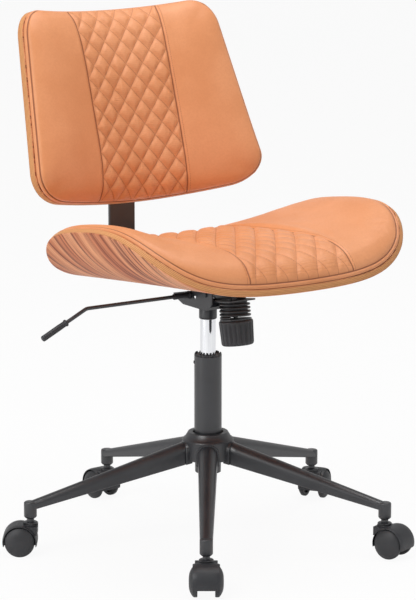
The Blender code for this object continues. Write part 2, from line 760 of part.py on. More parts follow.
def build_lever(root, steel, plastic):
    slope = math.radians(LEVER_DROP)
    bend = Vector((LEVER_BEND, 0, 0))
    along = Vector((-math.cos(slope), 0, -math.sin(slope)))
    radius = 0.018
    cut_back = radius * math.tan(slope / 2)
    path = [(LEVER_INNER, 0, 0)]
    for i in range(5):
        angle = slope * i / 4
        path.append((LEVER_BEND + cut_back - radius * math.sin(angle), 0,
                     -radius * (1 - math.cos(angle))))
    path.append(tuple(bend + along * (GRIP_START + GRIP_LENGTH - 0.012)))
    axis = new_frame("lever_axis", shift(0, LEVER_Y, LEVER_Z), root)
    add_part("lever_rod", tube(path, LEVER_RADIUS, 2), steel, axis)

    hole = LEVER_RADIUS + FIT
    flange = GRIP_RADIUS + 0.0012
    grip = turned([
        (0, GRIP_LENGTH), (GRIP_RADIUS - 0.0015, GRIP_LENGTH), (GRIP_RADIUS, GRIP_LENGTH - 0.002),
        (GRIP_RADIUS, 0.004), (flange, 0.003), (flange, 0), (hole, 0),
        (hole, GRIP_LENGTH - 0.012 + FIT), (0, GRIP_LENGTH - 0.012 + FIT)], SMALL)
    place = Matrix.Translation(bend + along * GRIP_START) @ turn_y(-90 - LEVER_DROP)
    add_part("lever_grip", grip, plastic, axis, place)

    rim = LEVER_BUSH_RADIUS + 0.002
    collar = HOUSING_HALF + 0.0012
    bush = turned([
        (LEVER_BUSH_RADIUS, -LEVER_BUSH_OUTER), (LEVER_BUSH_RADIUS, collar + 0.003),
        (rim, collar + 0.003), (rim, collar), (LEVER_BUSH_RADIUS, collar),
        (LEVER_BUSH_RADIUS, -LEVER_BUSH_INNER), (hole, -LEVER_BUSH_INNER),
        (hole, -LEVER_BUSH_OUTER)], SMALL)
    add_part("lever_bush", bush, plastic, axis, turn_y(-90))


# Shells and pads

def rim(grid):
    """The points round the edge of a grid of points, in order."""
    front = grid[0][:-1]
    right = [row[-1] for row in grid[:-1]]
    rear = grid[-1][:0:-1]
    left = [row[0] for row in grid[:0:-1]]
    return front + right + rear + left


def join_rings(work, rings):
    for near, far in zip(rings, rings[1:]):
        for i in range(len(near)):
            j = (i + 1) % len(near)
            work.faces.new((near[i], near[j], far[j], far[i]))


class Panel:
    """A moulded shell with a pad. A point of it has shares a, b from -1 to 1, across and
    along; its own frame has X across, Y along, and Z out of the padded face."""

    def __init__(self, crown, quilt_half, half_width, draw):
        self.crown = crown
        self.half_width = half_width
        self.quilt = quilt_half / half_width
        self.draw = draw

    def spread(self, a, b):
        """Draws the outer part of the square of shares in to the panel's outline."""
        most = max(abs(a), abs(b))
        if most < 0.001:
            return a, b
        drawn = 1 - (1 - self.outline(a / most, b / most)) * most ** self.draw
        return a * drawn, b * drawn

    def normal(self, a, b):
        """Out of the padded face, from the slopes of the face in its own frame."""
        place = self.face(a, b)
        step = 0.001
        across = (self.height(place.x + step, place.y)
                  - self.height(place.x - step, place.y)) / (2 * step)
        along = (self.height(place.x, place.y + step)
                 - self.height(place.x, place.y - step)) / (2 * step)
        return Vector((-across, -along, 1)).normalized()

    def lines_across(self):
        inner = [self.quilt * (2 * i / QUILT_COLUMNS - 1) for i in range(QUILT_COLUMNS + 1)]
        side = [between(share, self.quilt, 1.0) for share in (*SIDE_LINES, 1.0)]
        return [-line for line in side[::-1]] + inner + side

    def lines_along(self):
        inner = [2 * i / QUILT_ROWS - 1 for i in range(1, QUILT_ROWS)]
        return [-1.0, -EDGE_LINE] + inner + [EDGE_LINE, 1.0]

    def inset(self, a, b):
        """Shares of the pad's edge, a little inside the shell's."""
        scale = 1 - PAD_SETBACK / self.half_width
        return a * scale, b * scale

    def puff(self, a, b, column, row):
        """Thickness of the pad above its side band, with its quilting."""
        share = (1 - abs(a) ** CROWN_POWER) * (1 - abs(b) ** CROWN_POWER)
        height = self.crown * math.sqrt(max(share, 0.0))
        first = len(SIDE_LINES) + 1
        last = first + QUILT_COLUMNS
        if not first <= column <= last or share <= 0:
            return height
        if column in (first, last):
            return height - SEAM_DEPTH * min(1.0, 4 * share)
        if (column - first + row) % 2 == 0:
            return height - QUILT_DEPTH * min(1.0, 4 * share)
        return height

    def shell_mesh(self):
        """The plywood, with every second line of the pad's quilted band."""
        lines = self.lines_across()
        first = len(SIDE_LINES) + 1
        across = lines[:first] + lines[first:-first:2] + lines[-first:]
        along = self.lines_along()
        work = bmesh.new()
        top = []
        bottom = []
        for b in along:
            top.append([work.verts.new(self.face(a, b)) for a in across])
            bottom.append([work.verts.new(self.face(a, b) - self.normal(a, b) * PLY)
                           for a in across])
        for j in range(len(along) - 1):
            for i in range(len(across) - 1):
                work.faces.new((top[j][i], top[j][i + 1], top[j + 1][i + 1], top[j + 1][i]))
                work.faces.new((bottom[j][i], bottom[j + 1][i],
                                bottom[j + 1][i + 1], bottom[j][i + 1]))
        join_rings(work, (rim(bottom), rim(top)))
        face_outwards(work)
        mesh = bpy.data.meshes.new("shell")
        work.to_mesh(mesh)
        work.free()
        return mesh

    def pad_mesh(self):
        across = self.lines_across()
        along = self.lines_along()
        lift = 2 * FIT
        work = bmesh.new()
        top = []
        bottom = []
        for row, b in enumerate(along):
            upper = []
            lower = []
            for column, a in enumerate(across):
                at = self.inset(a, b)
                foot = self.face(*at)
                out = self.normal(*at)
                rise = BAND + self.puff(a, b, column, row)
                upper.append(work.verts.new(foot + out * rise))
                lower.append(work.verts.new(foot + out * lift))
            top.append(upper)
            bottom.append(lower)
        first = len(SIDE_LINES) + 1
        for j in range(len(along) - 1):
            for i in range(len(across) - 1):
                low = (bottom[j][i], bottom[j + 1][i], bottom[j + 1][i + 1], bottom[j][i + 1])
                work.faces.new(low)
                quad = (top[j][i], top[j][i + 1], top[j + 1][i + 1], top[j + 1][i])
                quilted = first <= i < first + QUILT_COLUMNS
                if not quilted:
                    work.faces.new(quad)
                    continue
                start = 0 if (i - first + j) % 2 == 0 else 1
                turned_quad = quad[start:] + quad[:start]
                work.faces.new((turned_quad[0], turned_quad[1], turned_quad[2]))
                work.faces.new((turned_quad[2], turned_quad[3], turned_quad[0]))
        self.close_sides(work, top, bottom)
        face_outwards(work)
        mesh = bpy.data.meshes.new("pad")
        work.to_mesh(mesh)
        work.free()
        return mesh

    def close_sides(self, work, top, bottom):
        """The side band, which bulges a little between the shell and the edge seam."""
        upper = rim(top)
        lower = rim(bottom)
        middle = []
        centre = sum((vert.co for vert in lower), Vector()) / len(lower)
        for above, below in zip(upper, lower):
            point = (above.co + below.co) / 2
            outward = point - centre
            outward.z = 0
            middle.append(work.verts.new(point + outward.normalized() * PAD_SETBACK * 0.7))
        join_rings(work, (lower, middle, upper))


class SeatPanel(Panel):
    def __init__(self):
        super().__init__(SEAT_CROWN, SEAT_QUILT_HALF, SEAT_HALF_WIDTH, 4)

    def outline(self, a, b):
        """Share of the way to the square's edge at which the rounded outline lies."""
        total = abs(a) ** SEAT_SQUARENESS + abs(b) ** SEAT_SQUARENESS
        return total ** (-1 / SEAT_SQUARENESS)

    def height(self, x, y):
        share = abs(x) / SEAT_HALF_WIDTH
        along = (y - self.middle()) / self.half_depth()
        return (SEAT_DISH * share ** 2 + SEAT_WING * share ** SEAT_WING_POWER
                - SEAT_WING_FALL * along ** 2 * share ** 4)

    def middle(self):
        return (SEAT_REAR - SEAT_FRONT) / 2

    def half_depth(self):
        return (SEAT_FRONT + SEAT_REAR) / 2

    def face(self, a, b):
        across, along = self.spread(a, b)
        x = SEAT_HALF_WIDTH * across * (1 + SEAT_TAPER * along)
        y = self.middle() + self.half_depth() * along
        return Vector((x, y, self.height(x, y)))


class BackPanel(Panel):
    def __init__(self):
        middle = (BACK_TOP_HALF + BACK_BOTTOM_HALF) / 2
        super().__init__(BACK_CROWN, BACK_QUILT_HALF, middle, 6)

    def outline(self, a, b):
        """Share of the way to the square's edge at which the rounded corner lies."""
        radius = BACK_TOP_CORNER if b > 0 else BACK_BOTTOM_CORNER
        sides = Vector((self.half_width, BACK_HEIGHT / 2))
        toward = Vector((abs(a) * sides.x, abs(b) * sides.y))
        centre = sides - Vector((radius, radius))
        if toward.x <= centre.x or toward.y <= centre.y:
            return 1.0
        reach = toward.dot(centre)
        rest = reach ** 2 - toward.length_squared * (centre.length_squared - radius ** 2)
        return (reach + math.sqrt(rest)) / toward.length_squared

    def height(self, x, y):
        return BACK_WRAP * (x / BACK_WRAP_AT) ** 2

    def face(self, a, b):
        """The side panels take up the taper, so that the quilted band runs straight."""
        across, along = self.spread(a, b)
        x = across * self.half_width
        if abs(across) > self.quilt:
            half = between((along + 1) / 2, BACK_BOTTOM_HALF, BACK_TOP_HALF)
            share = (abs(across) - self.quilt) / (1 - self.quilt)
            x = math.copysign(between(share, self.quilt * self.half_width, half), across)
        y = BACK_HEIGHT / 2 * along
        y -= BACK_TOP_DIP * (1 - across * across) * max(along, 0) ** 2
        y += BACK_BOTTOM_RISE * across * across * max(-along, 0) ** 2
        return Vector((x, y, self.height(x, y)))


# Seat and back

def screw_mesh(length):
    """A machine screw along -Z, whose head's underside is z = 0, head up."""
    edge = 0.0012
    return turned([
        (0, SCREW_HEAD), (SCREW_HEAD_RADIUS - edge, SCREW_HEAD),
        (SCREW_HEAD_RADIUS, SCREW_HEAD - edge), (SCREW_HEAD_RADIUS, 0), (SCREW_RADIUS, 0),
        (SCREW_RADIUS, -length), (0, -length)], SMALL)


def plate_mesh():
    """Rocking plate: a joggled sheet with a narrow tongue and two ears for the pin."""
    upright = upright_plane()
    level = -PLY - FIT - PLATE / 2
    low = level - TONGUE_DROP
    path = [(PLATE_REAR, level), (PLATE_SHOULDER - 0.002, level),
            (PLATE_SHOULDER - 0.010, low), (TONGUE_FRONT, low)]
    body = moved(sheet(ribbon(path, PLATE), 2 * PLATE_HALF), upright)
    cuts = []
    for side in (-1, 1):
        ends = sorted((side * TONGUE_HALF, side * (PLATE_HALF + 0.01)))
        corner = block((ends[0], TONGUE_FRONT - 0.02, -0.06), (ends[1], PLATE_SHOULDER, 0))
        cuts.append((corner, Matrix()))
    body = combined(body, cuts)
    pivot = seat_matrix().inverted() @ Vector((0, TILT_Y, TILT_Z))
    ear_face = HOUSING_HALF - SHEET - 2 * FIT
    outline = arc((pivot.y, pivot.z), EAR_RADIUS, -180, 0, 8)
    outline += [(pivot.y + EAR_RADIUS + 0.004, level), (pivot.y - EAR_RADIUS, level)]
    ears = []
    for side in (-1, 1):
        ear = moved(sheet(outline, EAR), upright)
        ears.append((ear, shift(side * (ear_face - EAR / 2), 0, 0)))
    body = combined(body, ears, "UNION")
    pin_hole = moved(cylinder(PIN_RADIUS + FIT, -0.05, 0.05, ROUND), turn_y(90))
    bolt = seat_matrix().inverted() @ bolt_matrix()
    bolt_hole = cylinder(BOLT_RADIUS + BOLT_SWING, 0.01, 0.04, SMALL)
    holes = [(pin_hole, shift(0, pivot.y, pivot.z)), (bolt_hole, bolt)]
    for x, y in SEAT_SCREWS:
        hole = cylinder(SCREW_RADIUS + FIT, -0.05, 0, SMALL)
        holes.append((hole, shift(x, y, 0)))
    return combined(body, holes)


def bracket_path():
    """Middle line of the bracket in the seat's frame, from under the seat up the back."""
    seat = seat_matrix()
    level = -PLY - 2 * FIT - PLATE - BRACKET / 2
    back = seat.inverted() @ back_matrix()
    rear = -(PLY + FIT + BRACKET / 2)
    top = back @ Vector((0, BRACKET_TOP, rear))
    lean = (back @ Vector((0, 1, 0))) - (back @ Vector((0, 0, 0)))
    lean = Vector((lean.y, lean.z)).normalized()
    up = (seat.inverted() @ Vector((0, 0, 1))) - (seat.inverted() @ Vector((0, 0, 0)))
    up = Vector((up.y, up.z)).normalized()
    foot = seat.inverted() @ Vector((0, BRACKET_Y, SEAT_HEIGHT))
    foot = Vector((foot.y, foot.z))
    corner = foot + up * ((level - foot.y) / up.y)
    top = Vector((top.y, top.z))
    gap = top - corner
    rise = (gap.x * lean.y - gap.y * lean.x) / (up.x * lean.y - up.y * lean.x)
    elbow = corner + up * rise
    points = [(BRACKET_FRONT, level)]
    points += rounded(Vector((BRACKET_FRONT, level)), corner, elbow, BRACKET_BEND, 6)
    points += rounded(corner, elbow, top, BRACKET_BEND * 2, 4)
    points.append(tuple(top))
    return points


def rounded(before, corner, after, radius, steps):
    """Points of an arc that rounds a corner of a path."""
    into = (before - corner).normalized()
    out = (after - corner).normalized()
    half = math.acos(max(-1.0, min(1.0, into.dot(out)))) / 2
    reach = radius / math.tan(half)
    centre = corner + (into + out).normalized() * (radius / math.sin(half))
    start = corner + into * reach - centre
    end = corner + out * reach - centre
    sweep = math.atan2(start.x * end.y - start.y * end.x, start.dot(end))
    points = []
    for i in range(steps + 1):
        angle = sweep * i / steps
        points.append((centre.x + start.x * math.cos(angle) - start.y * math.sin(angle),
                       centre.y + start.x * math.sin(angle) + start.y * math.cos(angle)))
    return points


def back_matrix():
    return shift(0, BACK_Y, BACK_Z) @ turn_x(90 - BACK_RECLINE)


def build_seat(root, ply, leather, steel):
    frame = new_frame("seat_frame", seat_matrix(), root)
    panel = SeatPanel()
    bites = []
    for x, y in SEAT_SCREWS:
        hole = cylinder(SCREW_RADIUS + FIT, -PLY - 0.01, -PLY + SCREW_BITE + FIT, SMALL)
        bites.append((hole, shift(x, y, 0)))
    add_part("seat_shell", combined(panel.shell_mesh(), bites), ply, frame)
    add_part("seat_pad", panel.pad_mesh(), leather, frame)
    add_part("seat_plate", plate_mesh(), steel, frame)
    for i, (x, y) in enumerate(SEAT_SCREWS):
        under = -PLY - FIT - PLATE - FIT
        if y > BRACKET_FRONT:
            under -= BRACKET + FIT
        mesh = screw_mesh(-PLY + SCREW_BITE - under)
        matrix = shift(x, y, under) @ turn_x(180)
        add_part("seat_screw_%d" % (i + 1), mesh, steel, frame, matrix)


def build_back(root, ply, leather, steel):
    seat_frame = seat_matrix()
    frame = new_frame("back_frame", back_matrix(), root)
    panel = BackPanel()
    bar = moved(sheet(ribbon(bracket_path(), BRACKET), 2 * BRACKET_HALF), upright_plane())
    into_seat = seat_frame.inverted() @ back_matrix()
    holes = []
    for x, y in SEAT_SCREWS:
        if y > BRACKET_FRONT:
            holes.append((cylinder(SCREW_RADIUS + FIT, -0.05, 0, SMALL), shift(x, y, 0)))
    bites = []
    for height in BACK_SCREWS:
        drill = cylinder(SCREW_RADIUS + FIT, -0.04, -PLY + SCREW_BITE + FIT, SMALL)
        holes.append((drill.copy(), into_seat @ shift(0, height, 0)))
        bites.append((drill, shift(0, height, 0)))
    under_seat = new_frame("bracket_frame", seat_frame, root)
    add_part("back_bracket", combined(bar, holes), steel, under_seat)
    add_part("back_shell", combined(panel.shell_mesh(), bites), ply, frame)
    add_part("back_pad", panel.pad_mesh(), leather, frame)
    behind = -PLY - FIT - BRACKET - FIT
    for i, height in enumerate(BACK_SCREWS):
        mesh = screw_mesh(-PLY + SCREW_BITE - behind)
        matrix = shift(0, height, behind) @ turn_x(180)
        add_part("back_screw_%d" % (i + 1), mesh, steel, frame, matrix)


def centre_on_floor(root):
    """Moves the chair so that its footprint's middle is the origin."""
    bpy.context.view_layer.update()
    graph = bpy.context.evaluated_depsgraph_get()
    corners = []
    for part in PARTS.objects:
        if part.type == "MESH":
            shape = part.evaluated_get(graph)
            corners += [part.matrix_world @ vertex.co for vertex in shape.data.vertices]
    for axis in (0, 1):
        values = [corner[axis] for corner in corners]
        root.location[axis] = -(min(values) + max(values)) / 2
    bpy.context.view_layer.update()
    print("column axis at x %.5f, y %.5f" % tuple(root.location[:2]))


def main():
    global PARTS, CUTTERS
    clear_scene()
    PARTS = new_collection("office_chair")
    CUTTERS = new_collection("cutters")
    steel = new_material("black_steel", (0.035, 0.034, 0.036), 0.45, 0.3)
    chrome = new_material("chrome", (0.80, 0.81, 0.83), 0.12, 1.0)
    spring_steel = new_material("black_spring", (0.02, 0.02, 0.022), 0.35, 0.6)
    plastic = new_material("black_plastic", (0.045, 0.045, 0.048), 0.5)
    tread = new_material("castor_tread", (0.05, 0.05, 0.053), 0.55)
    ply = new_material("walnut_ply", (0.36, 0.15, 0.075), 0.4)
    leather = new_material("tan_leather", (0.72, 0.30, 0.12), 0.45)
    root = new_frame("chair", Matrix())
    build_hub(root, steel)
    build_legs(root, steel)
    build_castors(root, steel, plastic, tread)
    build_lift(root, steel, chrome, plastic)
    build_housing(root, steel)
    build_tension(root, steel, spring_steel, plastic)
    build_lever(root, steel, plastic)
    build_seat(root, ply, leather, steel)
    build_back(root, ply, leather, steel)
    centre_on_floor(root)


main()
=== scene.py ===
"""Looks of a swivel office chair: quilted tan leather pads on veneered plywood shells,
black steel and plastic, and a chromed gas lift, in a plain white studio.

Lengths are in metres. The chair faces -Y and +X is the sitter's left.
"""

import json
import math

import bmesh
import bpy
import numpy as np
from mathutils import Matrix, Vector


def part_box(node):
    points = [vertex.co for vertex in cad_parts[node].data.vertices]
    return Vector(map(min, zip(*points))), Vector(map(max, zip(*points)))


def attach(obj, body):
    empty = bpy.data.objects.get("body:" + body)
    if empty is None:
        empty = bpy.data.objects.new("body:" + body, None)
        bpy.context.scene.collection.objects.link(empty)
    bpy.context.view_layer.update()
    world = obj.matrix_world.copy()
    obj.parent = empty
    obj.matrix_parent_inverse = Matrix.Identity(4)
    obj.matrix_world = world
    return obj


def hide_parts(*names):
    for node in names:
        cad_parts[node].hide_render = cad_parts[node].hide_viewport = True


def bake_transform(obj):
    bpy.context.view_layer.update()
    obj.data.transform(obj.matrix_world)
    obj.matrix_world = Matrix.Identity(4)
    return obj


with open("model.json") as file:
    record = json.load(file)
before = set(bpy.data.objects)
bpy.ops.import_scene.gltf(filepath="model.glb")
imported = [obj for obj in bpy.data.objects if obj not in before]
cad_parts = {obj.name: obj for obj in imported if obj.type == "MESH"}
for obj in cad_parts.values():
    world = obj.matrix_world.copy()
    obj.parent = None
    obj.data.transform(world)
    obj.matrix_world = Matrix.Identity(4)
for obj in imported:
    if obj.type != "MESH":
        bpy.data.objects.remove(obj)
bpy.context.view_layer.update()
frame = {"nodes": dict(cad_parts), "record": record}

# Places from the frame
tube_low, tube_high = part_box("column_tube")
COLUMN = Vector(((tube_low.x + tube_high.x) / 2, (tube_low.y + tube_high.y) / 2, 0))
AXIS = Matrix.Translation(COLUMN)

# Details of many pieces
SMALL_GAP = 0.0004      # between a piece and the one round it
TINY = 1e-5             # radius that closes a turned piece
SHARP_ANGLE = math.radians(32)

# Camera, from the photograph's perspective
CAMERA_TURN = -34.0
CAMERA_RISE = 11.634
CAMERA_DISTANCE = 5.144
CAMERA_AIM = 0.4473
CAMERA_LENS = 170.75

# Studio; each light has a name, a place to the camera's right, behind the chair and up,
# a size and a power
SKY = 0.36
FLOOR_GLOW = 0.93
REFLECTED_WHITE = 0.45
BOWL_FLAT = 11.0        # radius of the flat floor, whose edge curves up all round
BOWL_CURVE = 3.0
LIGHT_AIM = 0.5         # height that the lamps point at
LIGHTS = (
    ("key", (-2.0, -2.4, 3.0), 1.8, 61.0),
    ("fill", (3.2, -2.0, 1.6), 1.6, 11.0),
    ("top", (0.3, 0.2, 3.4), 2.2, 58.0),
    ("low", (-2.6, -1.4, 0.7), 1.4, 11.0),
)

# Sizes of the chair are the frame's, or a little off them where the forms here are finer;
# angles are in degrees

# Seat and shells
SEAT_HEIGHT = 0.4972
SEAT_PITCH = 5.06
PLY = 0.012
SEAT_HALF_WIDTH = 0.285
SEAT_FRONT = 0.297
SEAT_REAR = 0.198
SEAT_TAPER = -0.031
SEAT_DISH = 0.0223
SEAT_WING = 0.090
SEAT_WING_POWER = 4.7
SEAT_WING_FALL = 0.018
SEAT_SQUARENESS = 3.58
SEAT_CROWN = 0.061
BAND = 0.009
PAD_SETBACK = 0.002
PAD_LIFT = 0.0006
CROWN_POWER = 4.7
SEAT_QUILT_HALF = 0.110

# Back
BACK_Y = 0.2938
BACK_Z = 0.7695
BACK_RECLINE = 17.85
BACK_HEIGHT = 0.367
BACK_TOP_HALF = 0.2075
BACK_BOTTOM_HALF = 0.2550
BACK_WRAP = 0.047
BACK_WRAP_AT = 0.200
BACK_TOP_DIP = 0.004
BACK_BOTTOM_RISE = 0.011
BACK_TOP_CORNER = 0.052
BACK_BOTTOM_CORNER = 0.058
BACK_CROWN = 0.035
BACK_QUILT_HALF = 0.100

# Base and castors
LEGS = 5
BASE_YAW = -34.5
LEG_REACH = 0.335
HUB_RADIUS = 0.046
HUB_TOP_RADIUS = 0.037
HUB_TOP = 0.2035
HUB_BOTTOM = 0.1536
LEG_ROOT_WIDTH = 0.0355
LEG_TIP_WIDTH = 0.0222
LEG_ROOT_TOP = 0.187
LEG_ROOT_BOTTOM = 0.148
LEG_TIP_TOP = 0.0985
LEG_TIP_BOTTOM = 0.084
SOCKET_RADIUS = 0.0116
SOCKET_BOTTOM = 0.068
LEG_BOLT_REACH = HUB_RADIUS + 0.017  # to the bolt under each leg, not in the frame
LEG_BOLT_DROP = 0.0040  # its head below the leg
COLLAR = 0.0030         # raised edge round each leg where it enters the hub
TUBE_RADIUS = 0.025
TRAIL_ANGLES = (-34.0, 20.0, 124.0, -175.0, -124.0)
TRAIL = 0.019
WHEEL_RADIUS = 0.027
WHEEL_INNER = 0.0152    # inner face of a wheel, from the castor's middle
WHEEL_OUTER = 0.0222    # its outer face at the tread
WHEEL_DOME = 0.0080     # rise of the outer face in its middle
HOOD_RADIUS = 0.0315
HOOD_WALL = 0.0023
HOOD_HALF = 0.0235
HOOD_DROOP = 14.0
BLOCK_TOP = 0.0555
BLOCK_HALF = 0.0125
BLOCK_WIDTH = 0.0395
WEB_HALF = 0.0128
STEM_RADIUS = 0.0055
STEM_TOP = 0.0925
STEM_PLATE = 0.0138     # plate on which the castor turns

# Tension bolt, spring and knob
BOLT_LEAN = 9.0
BOLT_Y = -0.0835
FLANGE_Z = 0.4595
KNOB_TOP = -0.0337      # along the bolt, from the flange
KNOB_HEIGHT = 0.0455
KNOB_RADIUS = 0.0308
KNOB_FOOT_RADIUS = 0.0293
KNOB_FLUTES = 20
FLUTE_DEPTH = 0.0022
SPRING_LENGTH = 0.0303
SPRING_RADIUS = 0.0260  # to the middle of the wire
WIRE_RADIUS = 0.0023    # thicker than in the frame, with more turns
SPRING_TURNS = 4.6
FLAT_TURN = 0.3         # part of a turn that lies flat at each end
BUFFER_HOLE = 0.0085    # hole in the rubber buffer inside the spring

# Column, with a crown of teeth round the tube's mouth that the frame hasn't
TUBE_TOP = 0.346
CROWN_TEETH = 10
CROWN_TOOTH_SHARE = 0.66
CROWN_HEIGHT = 0.0042
CYLINDER_RADIUS = 0.014
CYLINDER_BOTTOM = 0.205
CYLINDER_TOP = 0.452
CONE_RADIUS = 0.0126
TUBE_BOTTOM = 0.128
SOCKET_TUBE_RADIUS = 0.0163
SOCKET_TUBE_BOTTOM = 0.4137
HOUSING_FLOOR = 0.4395

# Lever
LEVER_Y = 0.004
LEVER_Z = 0.4605
LEVER_RADIUS = 0.0034
LEVER_INNER = 0.014
LEVER_BEND = -0.255
LEVER_DROP = 26.0
GRIP_START = 0.046
GRIP_LENGTH = 0.055
GRIP_RADIUS = 0.0052
BUSH_RADIUS = 0.0055
BUSH_COLLAR = 0.0382
BUSH_ENDS = (0.031, 0.072)

# Sewing, plies, and the meshes of pads and shells
PLIES = 9
DIAMONDS_ACROSS = 5
DIAMONDS_ALONG = 8
PUFF = 0.0032           # height of a quilted diamond above its seams
PUFF_SLOPE = 0.0065     # distance over which it rises
SEAM_DEPTH = 0.0030     # groove of the seams beside the quilted band
SEAM_WIDTH = 0.0035
RIB_PITCH = 0.0036      # fine ribs of the quilted leather
STITCH = 0.0042         # pitch of the stitches
STITCH_ROW = 0.0055     # plain row beside the band's seams
EDGE_SEAM_DEPTH = 0.0011
EDGE_SEAM_WIDTH = 0.0013
GRID = 0.006            # spacing of the pads' mesh before it is refined
SWELL_FRAMES = 20
SWELL_CAP = 0.006       # most that the cloth simulation moves a point
BEFORE_SWELL = 0.985    # share of the crown's height before that simulation
VENEER_INSET = 0.0012   # the shells' faces inside their edges

# Cloth simulation of the leather over its filling
CLOTH = {"quality": 5, "mass": 0.4, "tension_stiffness": 25, "compression_stiffness": 25,
         "shear_stiffness": 10, "bending_stiffness": 2.0, "use_pressure": True,
         "uniform_pressure_force": 4.0, "vertex_group_mass": "held"}

# Side of a pad: heights above the shell and how far each bulges
PAD_SIDE = ((0.0080, 0.0012), (0.0055, 0.0021), (0.0030, 0.0021), (0.0012, 0.0013),
            (PAD_LIFT, 0.0))


# Places and numbers

def shift(x, y, z):
    return Matrix.Translation((x, y, z))


def rotate(angle, axis):
    """A turn by an angle in degrees about X, Y or Z."""
    return Matrix.Rotation(math.radians(angle), 4, axis)


def compass(angle):
    """Turns a piece made along +X to an angle from the chair's front."""
    return rotate(angle - 90, "Z")


def leg_place(leg):
    """Place of a leg that is made along +X from the column's axis."""
    return AXIS @ compass(BASE_YAW + 360 / LEGS * leg)


def bolt_place():
    """Place under the flange on the bolt's axis, with +Z up the bolt."""
    return AXIS @ shift(0, BOLT_Y, FLANGE_Z) @ rotate(-BOLT_LEAN, "X")


def between(share, start, end):
    return start + (end - start) * share


def smooth(value, low, high):
    share = np.clip((value - low) / (high - low), 0, 1)
    return share * share * (3 - 2 * share)


# Shader nodes

def math_method(operation):
    """A method that makes a Math node from a socket and other values."""
    def method(socket, *others):
        return socket.tree.node("ShaderNodeMath", {"operation": operation},
                                dict(enumerate((socket, *others))))
    return method


class Socket:
    """An output socket whose arithmetic makes Math nodes."""

    __add__ = __radd__ = math_method("ADD")
    __mul__ = __rmul__ = math_method("MULTIPLY")
    __sub__ = math_method("SUBTRACT")
    __truediv__ = math_method("DIVIDE")
    fraction = math_method("FRACT")
    floor = math_method("FLOOR")
    size = math_method("ABSOLUTE")
    larger = math_method("MAXIMUM")

    def __init__(self, tree, output):
        self.tree = tree
        self.output = output

    def __rsub__(self, other):
        return self * -1.0 + other

    def step(self, low, high):
        """0 below low, 1 above high and smooth between; falls if low is the larger."""
        return self.tree.node("ShaderNodeMapRange", {"interpolation_type": "SMOOTHSTEP"},
                              {0: self, 1: low, 2: high, 3: 0.0, 4: 1.0})


class Tree:
    """The shader nodes of a material or the world."""

    def __init__(self, data):
        data.use_nodes = True
        self.data = data
        self.nodes = data.node_tree.nodes

    def link(self, socket, target):
        self.data.node_tree.links.new(socket.output, target)

    def node(self, kind, settings=None, inputs=None, output=0):
        made = self.nodes.new(kind)
        for word, value in (settings or {}).items():
            setattr(made, word, value)
        for key, value in (inputs or {}).items():
            if isinstance(value, Socket):
                self.link(value, made.inputs[key])
            else:
                made.inputs[key].default_value = value
        return Socket(self, made.outputs[output])


class Material(Tree):
    """A node material with one Principled shader."""

    def __init__(self, name, **values):
        super().__init__(bpy.data.materials.new(name))
        self.shader = self.nodes["Principled BSDF"]
        for word, value in values.items():
            self.input(word).default_value = value
        self.bumps = None

    def input(self, word):
        """The shader's input that is called by a plain word."""
        return self.shader.inputs[word.replace("_", " ").title().replace("Ior", "IOR")]

    def place(self, scale=(1, 1, 1)):
        """The object's own coordinates, scaled."""
        own = self.node("ShaderNodeTexCoord", output="Object")
        return self.node("ShaderNodeVectorMath", {"operation": "MULTIPLY"}, {0: own, 1: scale})

    def sheet(self, layer):
        """Both coordinates of a flat layout, in metres."""
        flat = self.node("ShaderNodeUVMap", {"uv_map": layer})
        return [self.node("ShaderNodeSeparateXYZ", inputs={0: flat}, output=axis)
                for axis in (0, 1)]

    def vector(self, x, y):
        return self.node("ShaderNodeCombineXYZ", inputs={0: x, 1: y})

    def noise(self, place, scale, detail=3.0, roughness=0.5):
        return self.node("ShaderNodeTexNoise", inputs={
            "Vector": place, "Scale": scale, "Detail": detail, "Roughness": roughness})

    def mix(self, share, one, other):
        """One colour where share is 0 and the other where it is 1."""
        return self.node("ShaderNodeMix", {"data_type": "RGBA"},
                         {0: share, 6: self.colour(one), 7: self.colour(other)}, output=2)

    def colour(self, value):
        return value if isinstance(value, Socket) else (*value, 1.0)

    def layers(self, tone, *coats):
        """Lays colours over a tone, each by its own share."""
        for share, colour in coats:
            tone = self.mix(share, tone, colour)
        return tone

    def bump(self, height, distance, strength):
        inputs = {"Height": height, "Distance": distance, "Strength": strength}
        if self.bumps:
            inputs["Normal"] = self.bumps
        self.bumps = self.node("ShaderNodeBump", inputs=inputs)

    def finish(self, **links):
        if self.bumps:
            links["normal"] = self.bumps
        for word, socket in links.items():
            self.link(socket, self.input(word))
        return self.data


# Materials

